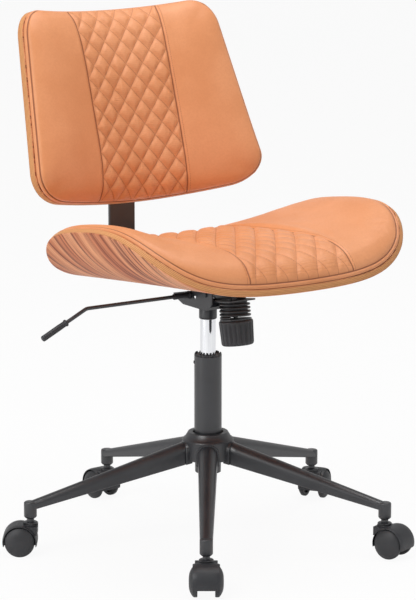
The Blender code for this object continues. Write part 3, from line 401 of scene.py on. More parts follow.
def leather(name, panel):
    """Tan leather; a layout named sewing holds places on the panel and one named edge the
    distance round the panel and inwards from its edge seam."""
    made = Material(name, roughness=0.40, specular_ior_level=0.42)
    x, y = made.sheet("sewing")
    _, inward = made.sheet("edge")
    place = made.place()
    grain = made.node("ShaderNodeTexVoronoi", {"feature": "DISTANCE_TO_EDGE"},
                      {"Vector": place, "Scale": 900.0})
    pebble = grain.step(0.0, 0.25)
    cloud = made.noise(place, 9.0, 4.0)
    fine = made.noise(place, 260.0)

    cell, tall = panel.diamond()
    inside = x.size().step(panel.quilt_half + 0.0004, panel.quilt_half - 0.0004)
    on_top = inward.step(0.0002, 0.0014)
    across = x * (1 / cell)
    along = y * (1 / tall)
    reach = 1 / math.hypot(1 / cell, 1 / tall)
    side = 0.5 * math.hypot(cell, tall)
    one = across + along + 0.5 * DIAMONDS_ACROSS
    two = across - along + 0.5 * DIAMONDS_ACROSS
    seams = []
    threads = []
    for this, other in ((one, two), (two, one)):
        off = ((this + 0.5).fraction() - 0.5).size() * reach
        dash = (other * (side / STITCH)).fraction().size()
        seams.append(off.step(0.0011, 0.0003))
        threads.append(off.step(0.0007, 0.0003) * dash.step(0.22, 0.34))
    # Narrow lines along the diamonds' seams, darkened in the tone below with painted shade in
    # their creases.
    diamond_seam_shade = seams[0].larger(seams[1]) * inside * on_top
    diamond_thread = threads[0].larger(threads[1]) * inside * on_top

    # Line along the groove beside the quilted band, darkened in the tone below with painted shade.
    band_seam_shade = (x.size() - panel.quilt_half).size().step(0.0020, 0.0007) * on_top
    row = (x.size() - panel.quilt_half - STITCH_ROW).size().step(0.0008, 0.0004)
    row_thread = row * (y / STITCH).fraction().step(0.20, 0.32) * on_top
    # Line along the edge seam round the top, darkened in the tone below with painted shade.
    welt_shade = inward.size().step(0.0017, 0.0005)
    # Fine ribs across the quilting; in the tone below, their grooves are darkened with painted
    # shade.
    rib = ((y / RIB_PITCH).fraction() - 0.5).size() * 2.0
    rib_on = inside * on_top * (1.0 - diamond_seam_shade)

    lit = made.mix(cloud.step(0.35, 0.68), (0.750, 0.295, 0.120), (0.820, 0.345, 0.155))
    # Mottled tan with its own threads, and painted shade in the rib grooves and along the seams.
    tone = made.layers(
        lit, (fine.step(0.3, 0.75) * 0.20, (0.630, 0.222, 0.082)),
        (rib.step(0.75, 1.0) * rib_on * 0.22, (0.520, 0.180, 0.065)),
        (diamond_seam_shade * 0.60, (0.400, 0.125, 0.045)),
        (diamond_thread * 0.80, (0.660, 0.260, 0.115)),
        (band_seam_shade * 0.85, (0.260, 0.075, 0.026)),
        (row_thread * 0.55, (0.420, 0.135, 0.050)),
        (welt_shade * 0.85, (0.240, 0.068, 0.024)))

    made.bump(pebble, 0.00018, 0.35)
    made.bump(fine, 0.0004, 0.25)
    made.bump((1.0 - rib.step(0.55, 1.0)) * rib_on, 0.0005, 0.55)
    made.bump(diamond_thread + row_thread, 0.0005, 0.6)
    rough = 0.36 + 0.10 * fine + 0.12 * diamond_seam_shade.larger(band_seam_shade)
    return made.finish(base_color=tone, roughness=rough)


def plywood():
    """Rosewood veneer with fine dark streaks across the chair and light plies at the edge."""
    made = Material("rosewood_ply", roughness=0.46, specular_ior_level=0.12)
    x, y = made.sheet("veneer")
    around, depth = made.sheet("plies")
    warp = made.noise(made.vector(x * 2.2, y * 3.0), 1.6, 2.0)
    wave = y + warp * 0.050
    broad = made.noise(made.vector(x, wave * 14.0), 2.2, 3.0, 0.55)
    streak = made.noise(made.vector(x * 1.2, wave * 40.0), 2.1, 4.0, 0.62)
    fine = made.noise(made.vector(x * 4.0, wave * 200.0), 2.0, 3.0, 0.6)
    pores = made.noise(made.vector(x * 18.0, wave * 620.0), 1.6, 2.0)
    veneer = made.layers(
        (0.620, 0.200, 0.092), (broad.step(0.34, 0.66), (0.940, 0.450, 0.235)),
        (streak.step(0.50, 0.60) * 0.90, (0.240, 0.062, 0.038)),
        (fine.step(0.46, 0.68) * 0.50, (0.300, 0.082, 0.046)),
        (pores.step(0.56, 0.74) * 0.35, (0.150, 0.042, 0.028)))

    ply = depth / (PLY / PLIES)
    glue = (ply.fraction() - 0.5).size().step(0.36, 0.48)
    cross = (ply.floor() * 0.5).fraction().step(0.2, 0.3)
    fibre = made.noise(made.vector(around * 60.0, depth * 900.0), 1.0)
    core = made.layers(
        (0.800, 0.400, 0.175), (cross, (0.620, 0.275, 0.110)),
        (fibre.step(0.4, 0.75) * 0.35, (0.450, 0.180, 0.070)),
        (glue * 0.55, (0.300, 0.105, 0.042)))
    edge = depth.step(0.0007, 0.0011) * depth.step(PLY - 0.0007, PLY - 0.0011)
    tone = made.mix(edge, veneer, core)
    made.bump(pores, 0.0003, 0.3)
    made.bump(glue * edge, 0.0003, 0.4)
    return made.finish(base_color=tone, roughness=0.42 + 0.16 * pores)


def black_steel():
    """Satin black enamel on steel, slightly uneven."""
    made = Material("satin_black_steel", roughness=0.36, specular_ior_level=0.80)
    place = made.place()
    speck = made.noise(place, 1400.0, 2.0)
    cloud = made.noise(place, 14.0)
    tone = made.mix(cloud.step(0.3, 0.7), (0.019, 0.020, 0.024), (0.029, 0.030, 0.035))
    made.bump(speck, 0.0002, 0.25)
    return made.finish(base_color=tone, roughness=0.30 + 0.12 * cloud)


def black_plastic(name, low, high, roughness):
    """Grained black finish between two tones."""
    made = Material(name, roughness=roughness)
    place = made.place()
    grain = made.noise(place, 900.0)
    cloud = made.noise(place, 20.0)
    tone = made.mix(cloud.step(0.3, 0.7), low, high)
    made.bump(grain, 0.0003, 0.45)
    return made.finish(base_color=tone, roughness=roughness + 0.12 * grain)


def chrome():
    """Polished chrome whose tone has faint upright streaks of painted reflection; the same streaks
    vary its roughness.
    """
    made = Material("polished_chrome", metallic=1.0, roughness=0.08)
    reflection_streaks = made.noise(made.place((1.0, 1.0, 0.06)), 420.0)
    # Painted reflection: the upright streaks lighten and darken the chrome's tone.
    tone = made.mix(reflection_streaks.step(0.3, 0.7), (0.84, 0.85, 0.88), (0.93, 0.94, 0.96))
    return made.finish(base_color=tone, roughness=0.06 + 0.08 * reflection_streaks)


FINISHES = {
    "black_steel": black_steel(),
    "chrome": chrome(),
    "black_plastic": black_plastic("grained_black_plastic", (0.024, 0.025, 0.029),
                                   (0.034, 0.035, 0.040), 0.38),
    "castor_tread": black_plastic("castor_tread_plastic", (0.026, 0.027, 0.030),
                                  (0.038, 0.039, 0.043), 0.44),
    "black_spring": black_plastic("oiled_spring_steel", (0.014, 0.014, 0.016),
                                  (0.024, 0.024, 0.027), 0.26),
}


# Meshes

def add_object(name, data):
    made = bpy.data.objects.new(name, data)
    bpy.context.scene.collection.objects.link(made)
    return made


def new_object(name, points, faces, matrix):
    mesh = bpy.data.meshes.new(name)
    mesh.from_pydata([tuple(point) for point in points], [], faces)
    mesh.update()
    made = add_object(name, mesh)
    made.matrix_world = matrix
    return made


def face_out(mesh):
    """Turns all faces of a closed mesh outwards."""
    work = bmesh.new()
    work.from_mesh(mesh)
    bmesh.ops.recalc_face_normals(work, faces=work.faces)
    if work.calc_volume(signed=True) < 0:
        bmesh.ops.reverse_faces(work, faces=work.faces)
    work.to_mesh(mesh)
    work.free()


def ring_faces(near, far):
    """Faces between two rings of point numbers."""
    count = len(near)
    return [(near[i], far[i], far[(i + 1) % count], near[(i + 1) % count])
            for i in range(count)]


def ring_numbers(rings):
    """The point numbers of each ring."""
    count = len(rings[0])
    return [range(k * count, (k + 1) * count) for k in range(len(rings))]


def span_faces(numbers):
    """Faces between each ring and the next."""
    return [face for near, far in zip(numbers, numbers[1:]) for face in ring_faces(near, far)]


def ring_solid(name, rings, matrix, closed=False):
    """A solid through rings of points; closed joins the last ring to the first."""
    numbers = ring_numbers(rings)
    if closed:
        faces = span_faces([*numbers, numbers[0]])
    else:
        faces = [*span_faces(numbers), tuple(numbers[0]), tuple(numbers[-1])[::-1]]
    made = new_object(name, sum(rings, []), faces, matrix)
    face_out(made.data)
    made.data.shade_smooth()
    made.data.set_sharp_from_angle(angle=SHARP_ANGLE)
    return made


def turned_rings(profile, sides):
    rings = []
    for radius, height in profile:
        reach = max(radius, TINY)
        rings.append([(reach * math.cos(math.tau * i / sides),
                       reach * math.sin(math.tau * i / sides), height) for i in range(sides)])
    return rings


def turned(name, profile, sides, matrix, hollow=False):
    """A solid turned about Z from a profile of radii and heights."""
    return ring_solid(name, turned_rings(profile, sides), matrix, hollow)


def raised(level, *points):
    """Profile points whose heights are measured from a level."""
    return [(radius, level + height) for radius, height in points]


def arc(x, y, radius, start, end, steps=5):
    """Points on an arc about a centre, between two angles in degrees."""
    points = []
    for i in range(steps + 1):
        angle = math.radians(between(i / steps, start, end))
        points.append((x + radius * math.cos(angle), y + radius * math.sin(angle)))
    return points


def wire_ring(middle, one, other, radius, sides):
    """Points round the middle of a wire, in the plane of two directions."""
    ring = []
    for k in range(sides):
        turn = math.tau * k / sides
        ring.append(tuple(middle + one * radius * math.cos(turn)
                          + other * radius * math.sin(turn)))
    return ring


def join_pieces(name, pieces):
    """One object from several closed pieces that touch or overlap."""
    work = bmesh.new()
    for piece in pieces:
        mesh = piece.data.copy()
        mesh.transform(piece.matrix_world)
        work.from_mesh(mesh)
        bpy.data.meshes.remove(mesh)
        bpy.data.objects.remove(piece, do_unlink=True)
    mesh = bpy.data.meshes.new(name)
    work.to_mesh(mesh)
    work.free()
    mesh.set_sharp_from_angle(angle=SHARP_ANGLE)
    return add_object(name, mesh)


def dress(piece, body, slot, node=None, finish=None):
    """Fixes a piece to its body if it is given one, gives it its slot's finish and lets
    it stand for a node of the frame."""
    piece.data.materials.append(finish or FINISHES[slot])
    if body:
        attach(piece, body)
    if node:
        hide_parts(node)


# Base and castors

def leg_ring(reach, swell=0.0):
    """Section of a leg that runs along +X: flat below, upright sides, arched top."""
    share = (reach - HUB_RADIUS) / (LEG_REACH - HUB_RADIUS)
    half = between(share, LEG_ROOT_WIDTH, LEG_TIP_WIDTH) / 2 + swell
    top = between(share, LEG_ROOT_TOP, LEG_TIP_TOP) + swell * 0.6
    bottom = between(share, LEG_ROOT_BOTTOM, LEG_TIP_BOTTOM)
    side = top - min(half, (top - bottom) * 0.6)
    edge = 0.0012
    steps = 20
    ring = [(reach, edge - half, bottom), (reach, half - edge, bottom),
            (reach, half, bottom + edge)]
    for i in range(steps + 1):
        angle = math.pi * i / steps
        bend = abs(math.sin(angle)) ** 0.92
        ring.append((reach, half * math.cos(angle), side + (top - side) * bend))
    ring.append((reach, -half, bottom + edge))
    return ring


def make_hub():
    """Hub with a raised collar round each leg where it enters."""
    mouth = TUBE_RADIUS + 0.0026
    edge = 0.0016
    foot = 0.0030
    profile = raised(HUB_TOP, (TUBE_RADIUS + SMALL_GAP, -0.0050), (mouth, -0.0050),
                     (mouth, -0.0010), (mouth + 0.0010, 0))
    profile += arc(HUB_TOP_RADIUS - edge, HUB_TOP - edge, edge, 90, 20)
    profile += arc(HUB_RADIUS - 0.0075, HUB_TOP - 0.0195, 0.0100, 66, 30)
    profile += [(HUB_RADIUS, HUB_TOP - 0.0200)]
    profile += arc(HUB_RADIUS - foot, HUB_BOTTOM + foot, foot, 0, -90)
    profile += raised(HUB_BOTTOM, (TUBE_RADIUS, 0), (TUBE_RADIUS + SMALL_GAP, 0.001))
    pieces = [turned("hub_body", profile, 72, AXIS, hollow=True)]
    collar = [leg_ring(HUB_RADIUS - 0.0100, COLLAR), leg_ring(HUB_RADIUS + 0.0004, COLLAR),
              leg_ring(HUB_RADIUS + 0.0012, COLLAR - 0.0008)]
    for leg in range(LEGS):
        pieces.append(ring_solid("collar", collar, leg_place(leg)))
    dress(join_pieces("hub", pieces), "base", "black_steel", "base_hub")


def make_legs():
    """Legs with the castor's socket at the tip and a bolt below the root."""
    sunk = -0.0009
    beam = [leg_ring(HUB_RADIUS - 0.0080, sunk), leg_ring(HUB_RADIUS + 0.0016, sunk),
            leg_ring(HUB_RADIUS + 0.0030)]
    beam += [leg_ring(between(k / 10, HUB_RADIUS + 0.012, LEG_REACH)) for k in range(11)]
    edge = 0.0030
    socket = [(0, LEG_TIP_TOP)]
    socket += arc(SOCKET_RADIUS - edge, LEG_TIP_TOP - edge, edge, 90, 0)
    socket += raised(SOCKET_BOTTOM, (SOCKET_RADIUS, 0.0035), (SOCKET_RADIUS - 0.0006, 0.0024),
                     (SOCKET_RADIUS - 0.0028, 0.0002), (SOCKET_RADIUS - 0.0034, 0), (0, 0))
    head = raised(leg_ring(LEG_BOLT_REACH)[0][2] - LEG_BOLT_DROP,
                  (0, 0), (0.0026, 0), (0.0034, 0.0008), (0.0038, 0.0022), (0.0050, 0.0024),
                  (0.0050, 0.0065), (0, 0.0065))
    for leg in range(LEGS):
        place = leg_place(leg)
        number = leg + 1
        pieces = [ring_solid("beam", beam, place),
                  turned("tip", socket, 40, place @ shift(LEG_REACH, 0, 0))]
        dress(join_pieces("leg_%d" % number, pieces), "base", "black_steel",
              "base_leg_%d" % number)
        bolt = turned("leg_bolt_%d" % number, head, 24, place @ shift(LEG_BOLT_REACH, 0, 0))
        dress(bolt, "base", "chrome")


def hood_piece(place):
    """The curved hood, drawn as sections across it from one edge over to the other."""
    shares = [k / 5 for k in range(-5, 6)]
    section = [(HOOD_RADIUS - 0.0016 * abs(share) ** 8, HOOD_HALF * share) for share in shares]
    section += [(HOOD_RADIUS - HOOD_WALL, HOOD_HALF * share) for share in shares[::-1]]
    steps = 26
    rings = []
    for i in range(steps + 1):
        angle = math.radians(between(i / steps, -HOOD_DROOP, 180 + HOOD_DROOP))
        rings.append([(TRAIL + radius * math.cos(angle), y,
                       WHEEL_RADIUS + radius * math.sin(angle)) for radius, y in section])
    return ring_solid("hood", rings, place)


def plate_piece(name, outline, half, place, edge):
    """A flat piece drawn as (x, z), of even thickness about y = 0, with eased edges."""
    middle_x = sum(x for x, z in outline) / len(outline)
    middle_z = sum(z for x, z in outline) / len(outline)
    rings = []
    for y, cut in ((-half, edge), (edge - half, 0), (half - edge, 0), (half, edge)):
        ring = []
        for x, z in outline:
            reach = math.hypot(x - middle_x, z - middle_z)
            shrink = 1 - cut / max(reach, edge)
            ring.append((middle_x + (x - middle_x) * shrink, y,
                         middle_z + (z - middle_z) * shrink))
        rings.append(ring)
    return ring_solid(name, rings, place)


def make_housing(number, place):
    """Hood with the web between the wheels, the neck and the ring on top of it."""
    web = arc(TRAIL, WHEEL_RADIUS, HOOD_RADIUS - 0.001, -HOOD_DROOP, 180 + HOOD_DROOP, 40)
    web += arc(TRAIL, WHEEL_RADIUS, 0.008, 200, 340, 8)
    low = WHEEL_RADIUS + 0.012
    neck = [(-BLOCK_HALF, low), (BLOCK_HALF + 0.006, low + 0.012), (BLOCK_HALF, BLOCK_TOP),
            (-BLOCK_HALF, BLOCK_TOP)]
    ring = raised(BLOCK_TOP, (0, -0.003), (STEM_PLATE, -0.003), (STEM_PLATE, 0.0012),
                  (STEM_PLATE - 0.0008, 0.0020), (0, 0.0020))
    pieces = [hood_piece(place), plate_piece("web", web, WEB_HALF, place, 0.0),
              plate_piece("neck", neck, BLOCK_WIDTH / 2, place, 0.0010),
              turned("top_ring", ring, 40, place)]
    dress(join_pieces("castor_hood_%d" % number, pieces), "castor_%d" % number,
          "black_plastic", "castor_housing_%d" % number)


def make_stem(number, place):
    """Pin that turns in the leg's socket, with its plate."""
    profile = raised(BLOCK_TOP + 0.0024, (0, 0), (STEM_PLATE - 0.0016, 0),
                     (STEM_PLATE - 0.0010, 0.0008), (STEM_PLATE - 0.0010, 0.0026),
                     (STEM_PLATE - 0.0022, 0.0034), (0.0082, 0.0038), (0.0066, 0.0052))
    profile += raised(SOCKET_BOTTOM, (0.0062, -0.0004), (STEM_RADIUS, -0.0003))
    profile += raised(STEM_TOP, (STEM_RADIUS, -0.001), (STEM_RADIUS - 0.001, 0), (0, 0))
    dress(turned("stem_%d" % number, profile, 32, place), "castor_%d" % number,
          "black_steel", "castor_stem_%d" % number)


def make_wheels(number, place):
    """Both wheels of a castor, with domed outer faces."""
    steps = 12
    profile = []
    for k in range(steps + 1):
        share = math.sin(math.pi / 2 * k / steps)
        profile.append((WHEEL_RADIUS * share * 0.985,
                        WHEEL_OUTER + WHEEL_DOME * (1 - share ** 3.2)))
    edge = 0.0014
    profile += arc(WHEEL_RADIUS - edge, WHEEL_OUTER - 0.0016, edge, 60, 0, 3)
    profile += arc(WHEEL_RADIUS - edge, WHEEL_INNER + edge, edge, 0, -90)
    profile += raised(WHEEL_INNER, (0.0210, 0), (0.0200, 0.0040), (0.0060, 0.0040),
                      (0.0055, 0), (0, 0))
    for side, word in ((1, "left"), (-1, "right")):
        matrix = place @ shift(TRAIL, 0, WHEEL_RADIUS) @ rotate(-90 * side, "X")
        wheel = turned("wheel_%d_%s" % (number, word), profile, 64, matrix)
        dress(wheel, "castor_%d_wheel_%s" % (number, word), "castor_tread",
              "castor_wheel_%d_%s" % (number, word))


def make_castors():
    for leg in range(LEGS):
        tip = leg_place(leg) @ shift(LEG_REACH, 0, 0)
        place = Matrix.Translation(tip.to_translation()) @ compass(TRAIL_ANGLES[leg])
        make_housing(leg + 1, place)
        make_stem(leg + 1, place)
        make_wheels(leg + 1, place)


# Column, lever, spring and knob

def make_column():
    """Tube, chromed cylinder and the socket that the cylinder's cone sits in."""
    inner = TUBE_RADIUS - 0.0020
    hole = 0.0056
    tube = [(inner, TUBE_TOP), (TUBE_RADIUS - 0.0006, TUBE_TOP), (TUBE_RADIUS, TUBE_TOP - 0.0006),
            (TUBE_RADIUS, HUB_TOP)]
    tube += raised(TUBE_BOTTOM, (0.0235, 0), (hole, 0), (hole, 0.003), (0.0215, 0.003))
    tube += [(inner, HUB_TOP)]
    bore = CYLINDER_RADIUS - 0.003
    valve_hole = 0.0044
    cylinder = [(bore, CYLINDER_BOTTOM), (CYLINDER_RADIUS - 0.0006, CYLINDER_BOTTOM),
                (CYLINDER_RADIUS, CYLINDER_BOTTOM + 0.0006), (CYLINDER_RADIUS, SOCKET_TUBE_BOTTOM)]
    cylinder += raised(CYLINDER_TOP, (CONE_RADIUS, 0), (valve_hole, 0), (valve_hole, -0.012),
                       (bore, -0.012))
    outer = SOCKET_TUBE_RADIUS
    socket = raised(SOCKET_TUBE_BOTTOM, (CYLINDER_RADIUS + 0.0003, 0), (outer - 0.0012, 0),
                    (outer - 0.0003, 0.0008), (outer, 0.0020), (outer - 0.0004, 0.0026),
                    (outer, 0.0032))
    socket += raised(HOUSING_FLOOR - SMALL_GAP, (outer, -0.0032), (outer - 0.0010, -0.0012),
                     (outer - 0.0026, 0), (0.0153, 0))
    socket += raised(CYLINDER_TOP, (0.0153, 0), (CONE_RADIUS + 0.0003, 0))
    for name, profile, body, slot, node in (
            ("tube", tube, "base", "black_steel", "column_tube"),
            ("cylinder", cylinder, "lift_head", "chrome", "gas_cylinder"),
            ("cone_socket", socket, "lift_head", "black_steel", "taper_socket")):
        dress(turned(name, profile, 96, AXIS, hollow=True), body, slot, node)


def make_crown():
    """Guide bush in the mouth of the tube, with a ring of upright teeth."""
    inner = CYLINDER_RADIUS + SMALL_GAP
    wall = TUBE_RADIUS - 0.0024
    profile = raised(TUBE_TOP, (inner, -0.020), (inner, 0.0008), (TUBE_RADIUS - 0.0006, 0.0012),
                     (TUBE_RADIUS, 0.0008), (TUBE_RADIUS, 0.0003), (wall, 0.0003),
                     (wall, -0.020))
    pieces = [turned("bush", profile, 72, AXIS, hollow=True)]
    steps = 6
    for tooth in range(CROWN_TEETH):
        rings = []
        for k in range(steps + 1):
            angle = math.tau * (tooth + CROWN_TOOTH_SHARE * k / steps) / CROWN_TEETH
            tip = CROWN_HEIGHT - (0.0008 if k in (0, steps) else 0.0)
            section = raised(TUBE_TOP, (TUBE_RADIUS - 0.0022, 0.0006),
                             (TUBE_RADIUS - 0.0003, 0.0006),
                             (TUBE_RADIUS - 0.0006, tip - 0.0006), (TUBE_RADIUS - 0.0014, tip))
            rings.append([(radius * math.cos(angle), radius * math.sin(angle), height)
                          for radius, height in section])
        pieces.append(ring_solid("tooth", rings, AXIS))
    dress(join_pieces("crown_bush", pieces), "base", "black_plastic", "column_guide_bush")


def make_tube_screw():
    """Small screw that holds the bush, at the picture's left edge of the tube."""
    level = shift(0, 0, TUBE_TOP - 0.0130) @ compass(CAMERA_TURN - 84)
    profile = [(0, -0.001), (0.0030, -0.001), (0.0030, 0.0006), (0.0022, 0.0014),
               (0.0010, 0.0016), (0.0009, 0.0008), (0, 0.0008)]
    place = AXIS @ level @ shift(TUBE_RADIUS, 0, 0) @ rotate(90, "Y")
    dress(turned("tube_screw", profile, 24, place), "base", "black_steel")


def make_lever():
    """Bent rod with its grip and the bush that it turns in."""
    place = AXIS @ shift(0, LEVER_Y, LEVER_Z)
    slope = math.radians(LEVER_DROP)
    bend = Vector((LEVER_BEND, 0, 0))
    along = Vector((-math.cos(slope), 0, -math.sin(slope)))
    radius = 0.018
    start = LEVER_BEND + radius * math.tan(slope / 2)
    path = [(Vector((LEVER_INNER, 0, 0)), 0.0)]
    for i in range(9):
        angle = slope * i / 8
        path.append((Vector((start - radius * math.sin(angle), 0,
                             -radius * (1 - math.cos(angle)))), angle))
    path.append((bend + along * (GRIP_START + GRIP_LENGTH - 0.012), slope))
    rings = []
    for middle, angle in path:
        across = Vector((-math.sin(angle), 0, math.cos(angle)))
        rings.append(wire_ring(middle, across, Vector((0, 1, 0)), LEVER_RADIUS, 24))
    dress(ring_solid("lever_arm", rings, place), "lever", "black_steel", "lever_rod")

    hole = LEVER_RADIUS + 0.0003
    wide = GRIP_RADIUS + 0.0012
    grip = [(hole, 0), (wide - 0.0005, 0), (wide, 0.0006), (wide, 0.0028),
            (wide - 0.0005, 0.0034), (GRIP_RADIUS, 0.0046), (GRIP_RADIUS + 0.0003, 0.020),
            (GRIP_RADIUS + 0.0002, 0.040)]
    grip += arc(GRIP_RADIUS - 0.0020, GRIP_LENGTH - 0.0022, 0.0022, 0, 80, 6)
    grip += raised(GRIP_LENGTH, (0, 0), (0, -0.0115), (hole, -0.0115))
    handle_place = place @ Matrix.Translation(bend + along * GRIP_START)
    handle = turned("lever_handle", grip, 40, handle_place @ rotate(-90 - LEVER_DROP, "Y"),
                    hollow=True)
    dress(handle, "lever", "black_plastic", "lever_grip")

    near, far = BUSH_ENDS
    flange = BUSH_RADIUS + 0.0020
    bush = [(hole, near), (BUSH_RADIUS, near)]
    bush += raised(BUSH_COLLAR, (BUSH_RADIUS, 0), (flange - 0.0004, 0), (flange, 0.0005),
                   (flange, 0.0025), (flange - 0.0006, 0.0030), (BUSH_RADIUS, 0.0030))
    bush += raised(far, (BUSH_RADIUS, -0.0008), (BUSH_RADIUS - 0.0006, 0), (hole, 0))
    collar = turned("lever_collar", bush, 40, place @ rotate(-90, "Y"), hollow=True)
    dress(collar, "lever_bush", "black_plastic", "lever_bush")


def make_spring():
    """Coiled wire round a rubber buffer, neither fixed to a body; on the real chair both give as
    the seat rocks.
    """
    place = bolt_place()
    up = Vector((0, 0, 1))
    top = -0.0003 - WIRE_RADIUS
    drop = SPRING_LENGTH - 2 * WIRE_RADIUS
    count = int(SPRING_TURNS * 28)
    rings = []
    for i in range(count + 1):
        turns = SPRING_TURNS * i / count
        angle = math.tau * turns
        outward = Vector((math.cos(angle), math.sin(angle), 0))
        fall = drop * np.clip((turns - FLAT_TURN) / (SPRING_TURNS - 2 * FLAT_TURN), 0, 1)
        middle = outward * SPRING_RADIUS + up * (top - fall)
        rings.append(wire_ring(middle, outward, up, WIRE_RADIUS, 12))
    spring = ring_solid("spring_wire", rings, place)
    dress(spring, None, "black_spring", "tension_spring")

    outer = SPRING_RADIUS - WIRE_RADIUS - 0.0006
    eased = outer - 0.0004
    foot = 0.0036 - SPRING_LENGTH
    wall = [(BUFFER_HOLE, -0.0006), (eased, -0.0006)]
    wall += [(outer, between(k / 12, -0.0010, foot + 0.0004)) for k in range(13)]
    wall += [(eased, foot), (BUFFER_HOLE, foot)]
    rubber = turned("spring_buffer", wall, 48, place, hollow=True)
    dress(rubber, None, "black_plastic")
    for piece in (spring, rubber):
        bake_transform(piece)


def make_knob():
    """Fluted knob with broad ribs and a rounded foot; each profile point also has the
    flutes' share of their full depth."""
    flute_top = -0.0062
    foot = -KNOB_HEIGHT
    profile = [(0.0046, -0.0002, 0), (0.012, 0.0, 0), (KNOB_RADIUS - 0.0035, 0.0, 0),
               (KNOB_RADIUS - 0.0018, -0.0003, 0), (KNOB_RADIUS - 0.0005, -0.0014, 0),
               (KNOB_RADIUS, -0.0030, 0), (KNOB_RADIUS, -0.0040, 0.1),
               (KNOB_RADIUS, flute_top, 1)]
    for k in range(1, 7):
        profile.append((between(k / 6, KNOB_RADIUS, KNOB_FOOT_RADIUS),
                        between(k / 6, flute_top, foot + 0.0050), 1))
    profile += [(KNOB_FOOT_RADIUS - 0.0010, foot + 0.0022, 0.9),
                (KNOB_FOOT_RADIUS - 0.0032, foot + 0.0006, 0.6),
                (KNOB_FOOT_RADIUS - 0.0062, foot, 0.25),
                (0.016, foot + 0.0003, 0), (0.0, foot + 0.0006, 0)]
    steps = 12
    sides = KNOB_FLUTES * steps
    rings = []
    for radius, height, deep in profile:
        ring = []
        for i in range(sides):
            valley = 0.5 + 0.5 * math.cos(math.tau * i / steps)
            reach = max(radius - FLUTE_DEPTH * deep * valley ** 2.2, TINY)
            angle = math.tau * i / sides
            ring.append((reach * math.cos(angle), reach * math.sin(angle), KNOB_TOP + height))
        rings.append(ring)
    knob = ring_solid("knob", rings, bolt_place())
    knob.data.set_sharp_from_angle(angle=math.radians(60))
    dress(knob, "tension_knob", "black_plastic", "tension_knob")


# Panels of seat and back, with the frame's own forms

class Panel:
    """A shell's padded face; shares from -1 to 1 across and along it give its points."""

    def diamond(self):
        """Width and height of a quilted diamond."""
        return 2 * self.quilt_half / DIAMONDS_ACROSS, self.length / DIAMONDS_ALONG

    def grid(self, distances):
        """An even grid of shares, with extra lines at distances from the edges."""
        lines = []
        for half in (self.half_width, self.length / 2):
            inner = np.linspace(-1, 1, int(round(2 * half / GRID)) + 1)
            near = 1 - np.array(distances) / half
            inner = inner[abs(inner) < near.min() - 0.6 * GRID / half]
            lines.append(np.sort(np.concatenate([inner, near, -near])))
        return np.meshgrid(*lines)


class Seat(Panel):
    half_width = SEAT_HALF_WIDTH
    length = SEAT_FRONT + SEAT_REAR
    crown = SEAT_CROWN
    quilt_half = SEAT_QUILT_HALF
    draw = 4
    matrix = AXIS @ shift(0, 0, SEAT_HEIGHT) @ rotate(-SEAT_PITCH, "X")

    def outline(self, a, b):
        total = abs(a) ** SEAT_SQUARENESS + abs(b) ** SEAT_SQUARENESS
        return np.maximum(total, 1e-9) ** (-1 / SEAT_SQUARENESS)

    def height(self, x, y):
        share = abs(x) / SEAT_HALF_WIDTH
        along = (y - (SEAT_REAR - SEAT_FRONT) / 2) / (self.length / 2)
        return (SEAT_DISH * share ** 2 + SEAT_WING * share ** SEAT_WING_POWER
                - SEAT_WING_FALL * along ** 2 * share ** 4)

    def flat(self, across, along):
        x = SEAT_HALF_WIDTH * across * (1 + SEAT_TAPER * along)
        y = (SEAT_REAR - SEAT_FRONT) / 2 + self.length / 2 * along
        return x, y


class Back(Panel):
    half_width = (BACK_TOP_HALF + BACK_BOTTOM_HALF) / 2
    length = BACK_HEIGHT
    crown = BACK_CROWN
    quilt_half = BACK_QUILT_HALF
    draw = 6
    matrix = AXIS @ shift(0, BACK_Y, BACK_Z) @ rotate(90 - BACK_RECLINE, "X")

    def outline(self, a, b):
        radius = np.where(b > 0, BACK_TOP_CORNER, BACK_BOTTOM_CORNER)
        side, end = self.half_width, BACK_HEIGHT / 2
        toward_x, toward_y = abs(a) * side, abs(b) * end
        centre_x, centre_y = side - radius, end - radius
        square = toward_x ** 2 + toward_y ** 2
        reach = toward_x * centre_x + toward_y * centre_y
        rest = reach ** 2 - square * (centre_x ** 2 + centre_y ** 2 - radius ** 2)
        drawn = (reach + np.sqrt(np.maximum(rest, 0))) / np.maximum(square, 1e-9)
        straight = (toward_x <= centre_x) | (toward_y <= centre_y)
        return np.where(straight, 1.0, drawn)

    def height(self, x, y):
        return BACK_WRAP * (x / BACK_WRAP_AT) ** 2

    def flat(self, across, along):
        quilt = self.quilt_half / self.half_width
        half = between((along + 1) / 2, BACK_BOTTOM_HALF, BACK_TOP_HALF)
        share = (abs(across) - quilt) / (1 - quilt)
        side = np.copysign(self.quilt_half + (half - self.quilt_half) * share, across)
        x = np.where(abs(across) > quilt, side, across * self.half_width)
        y = BACK_HEIGHT / 2 * along
        y = y - BACK_TOP_DIP * (1 - across ** 2) * np.maximum(along, 0) ** 2
        y = y + BACK_BOTTOM_RISE * across ** 2 * np.maximum(-along, 0) ** 2
        return x, y


def spread(panel, a, b):
    """Draws the outer part of the square of shares in to the panel's outline."""
    most = np.maximum(abs(a), abs(b))
    safe = np.maximum(most, 0.001)
    drawn = 1 - (1 - panel.outline(a / safe, b / safe)) * most ** panel.draw
    return a * drawn, b * drawn


def pairs(one, other):
    """Two coordinates side by side; either may be one number for all points."""
    return np.stack(np.broadcast_arrays(one, other), -1)


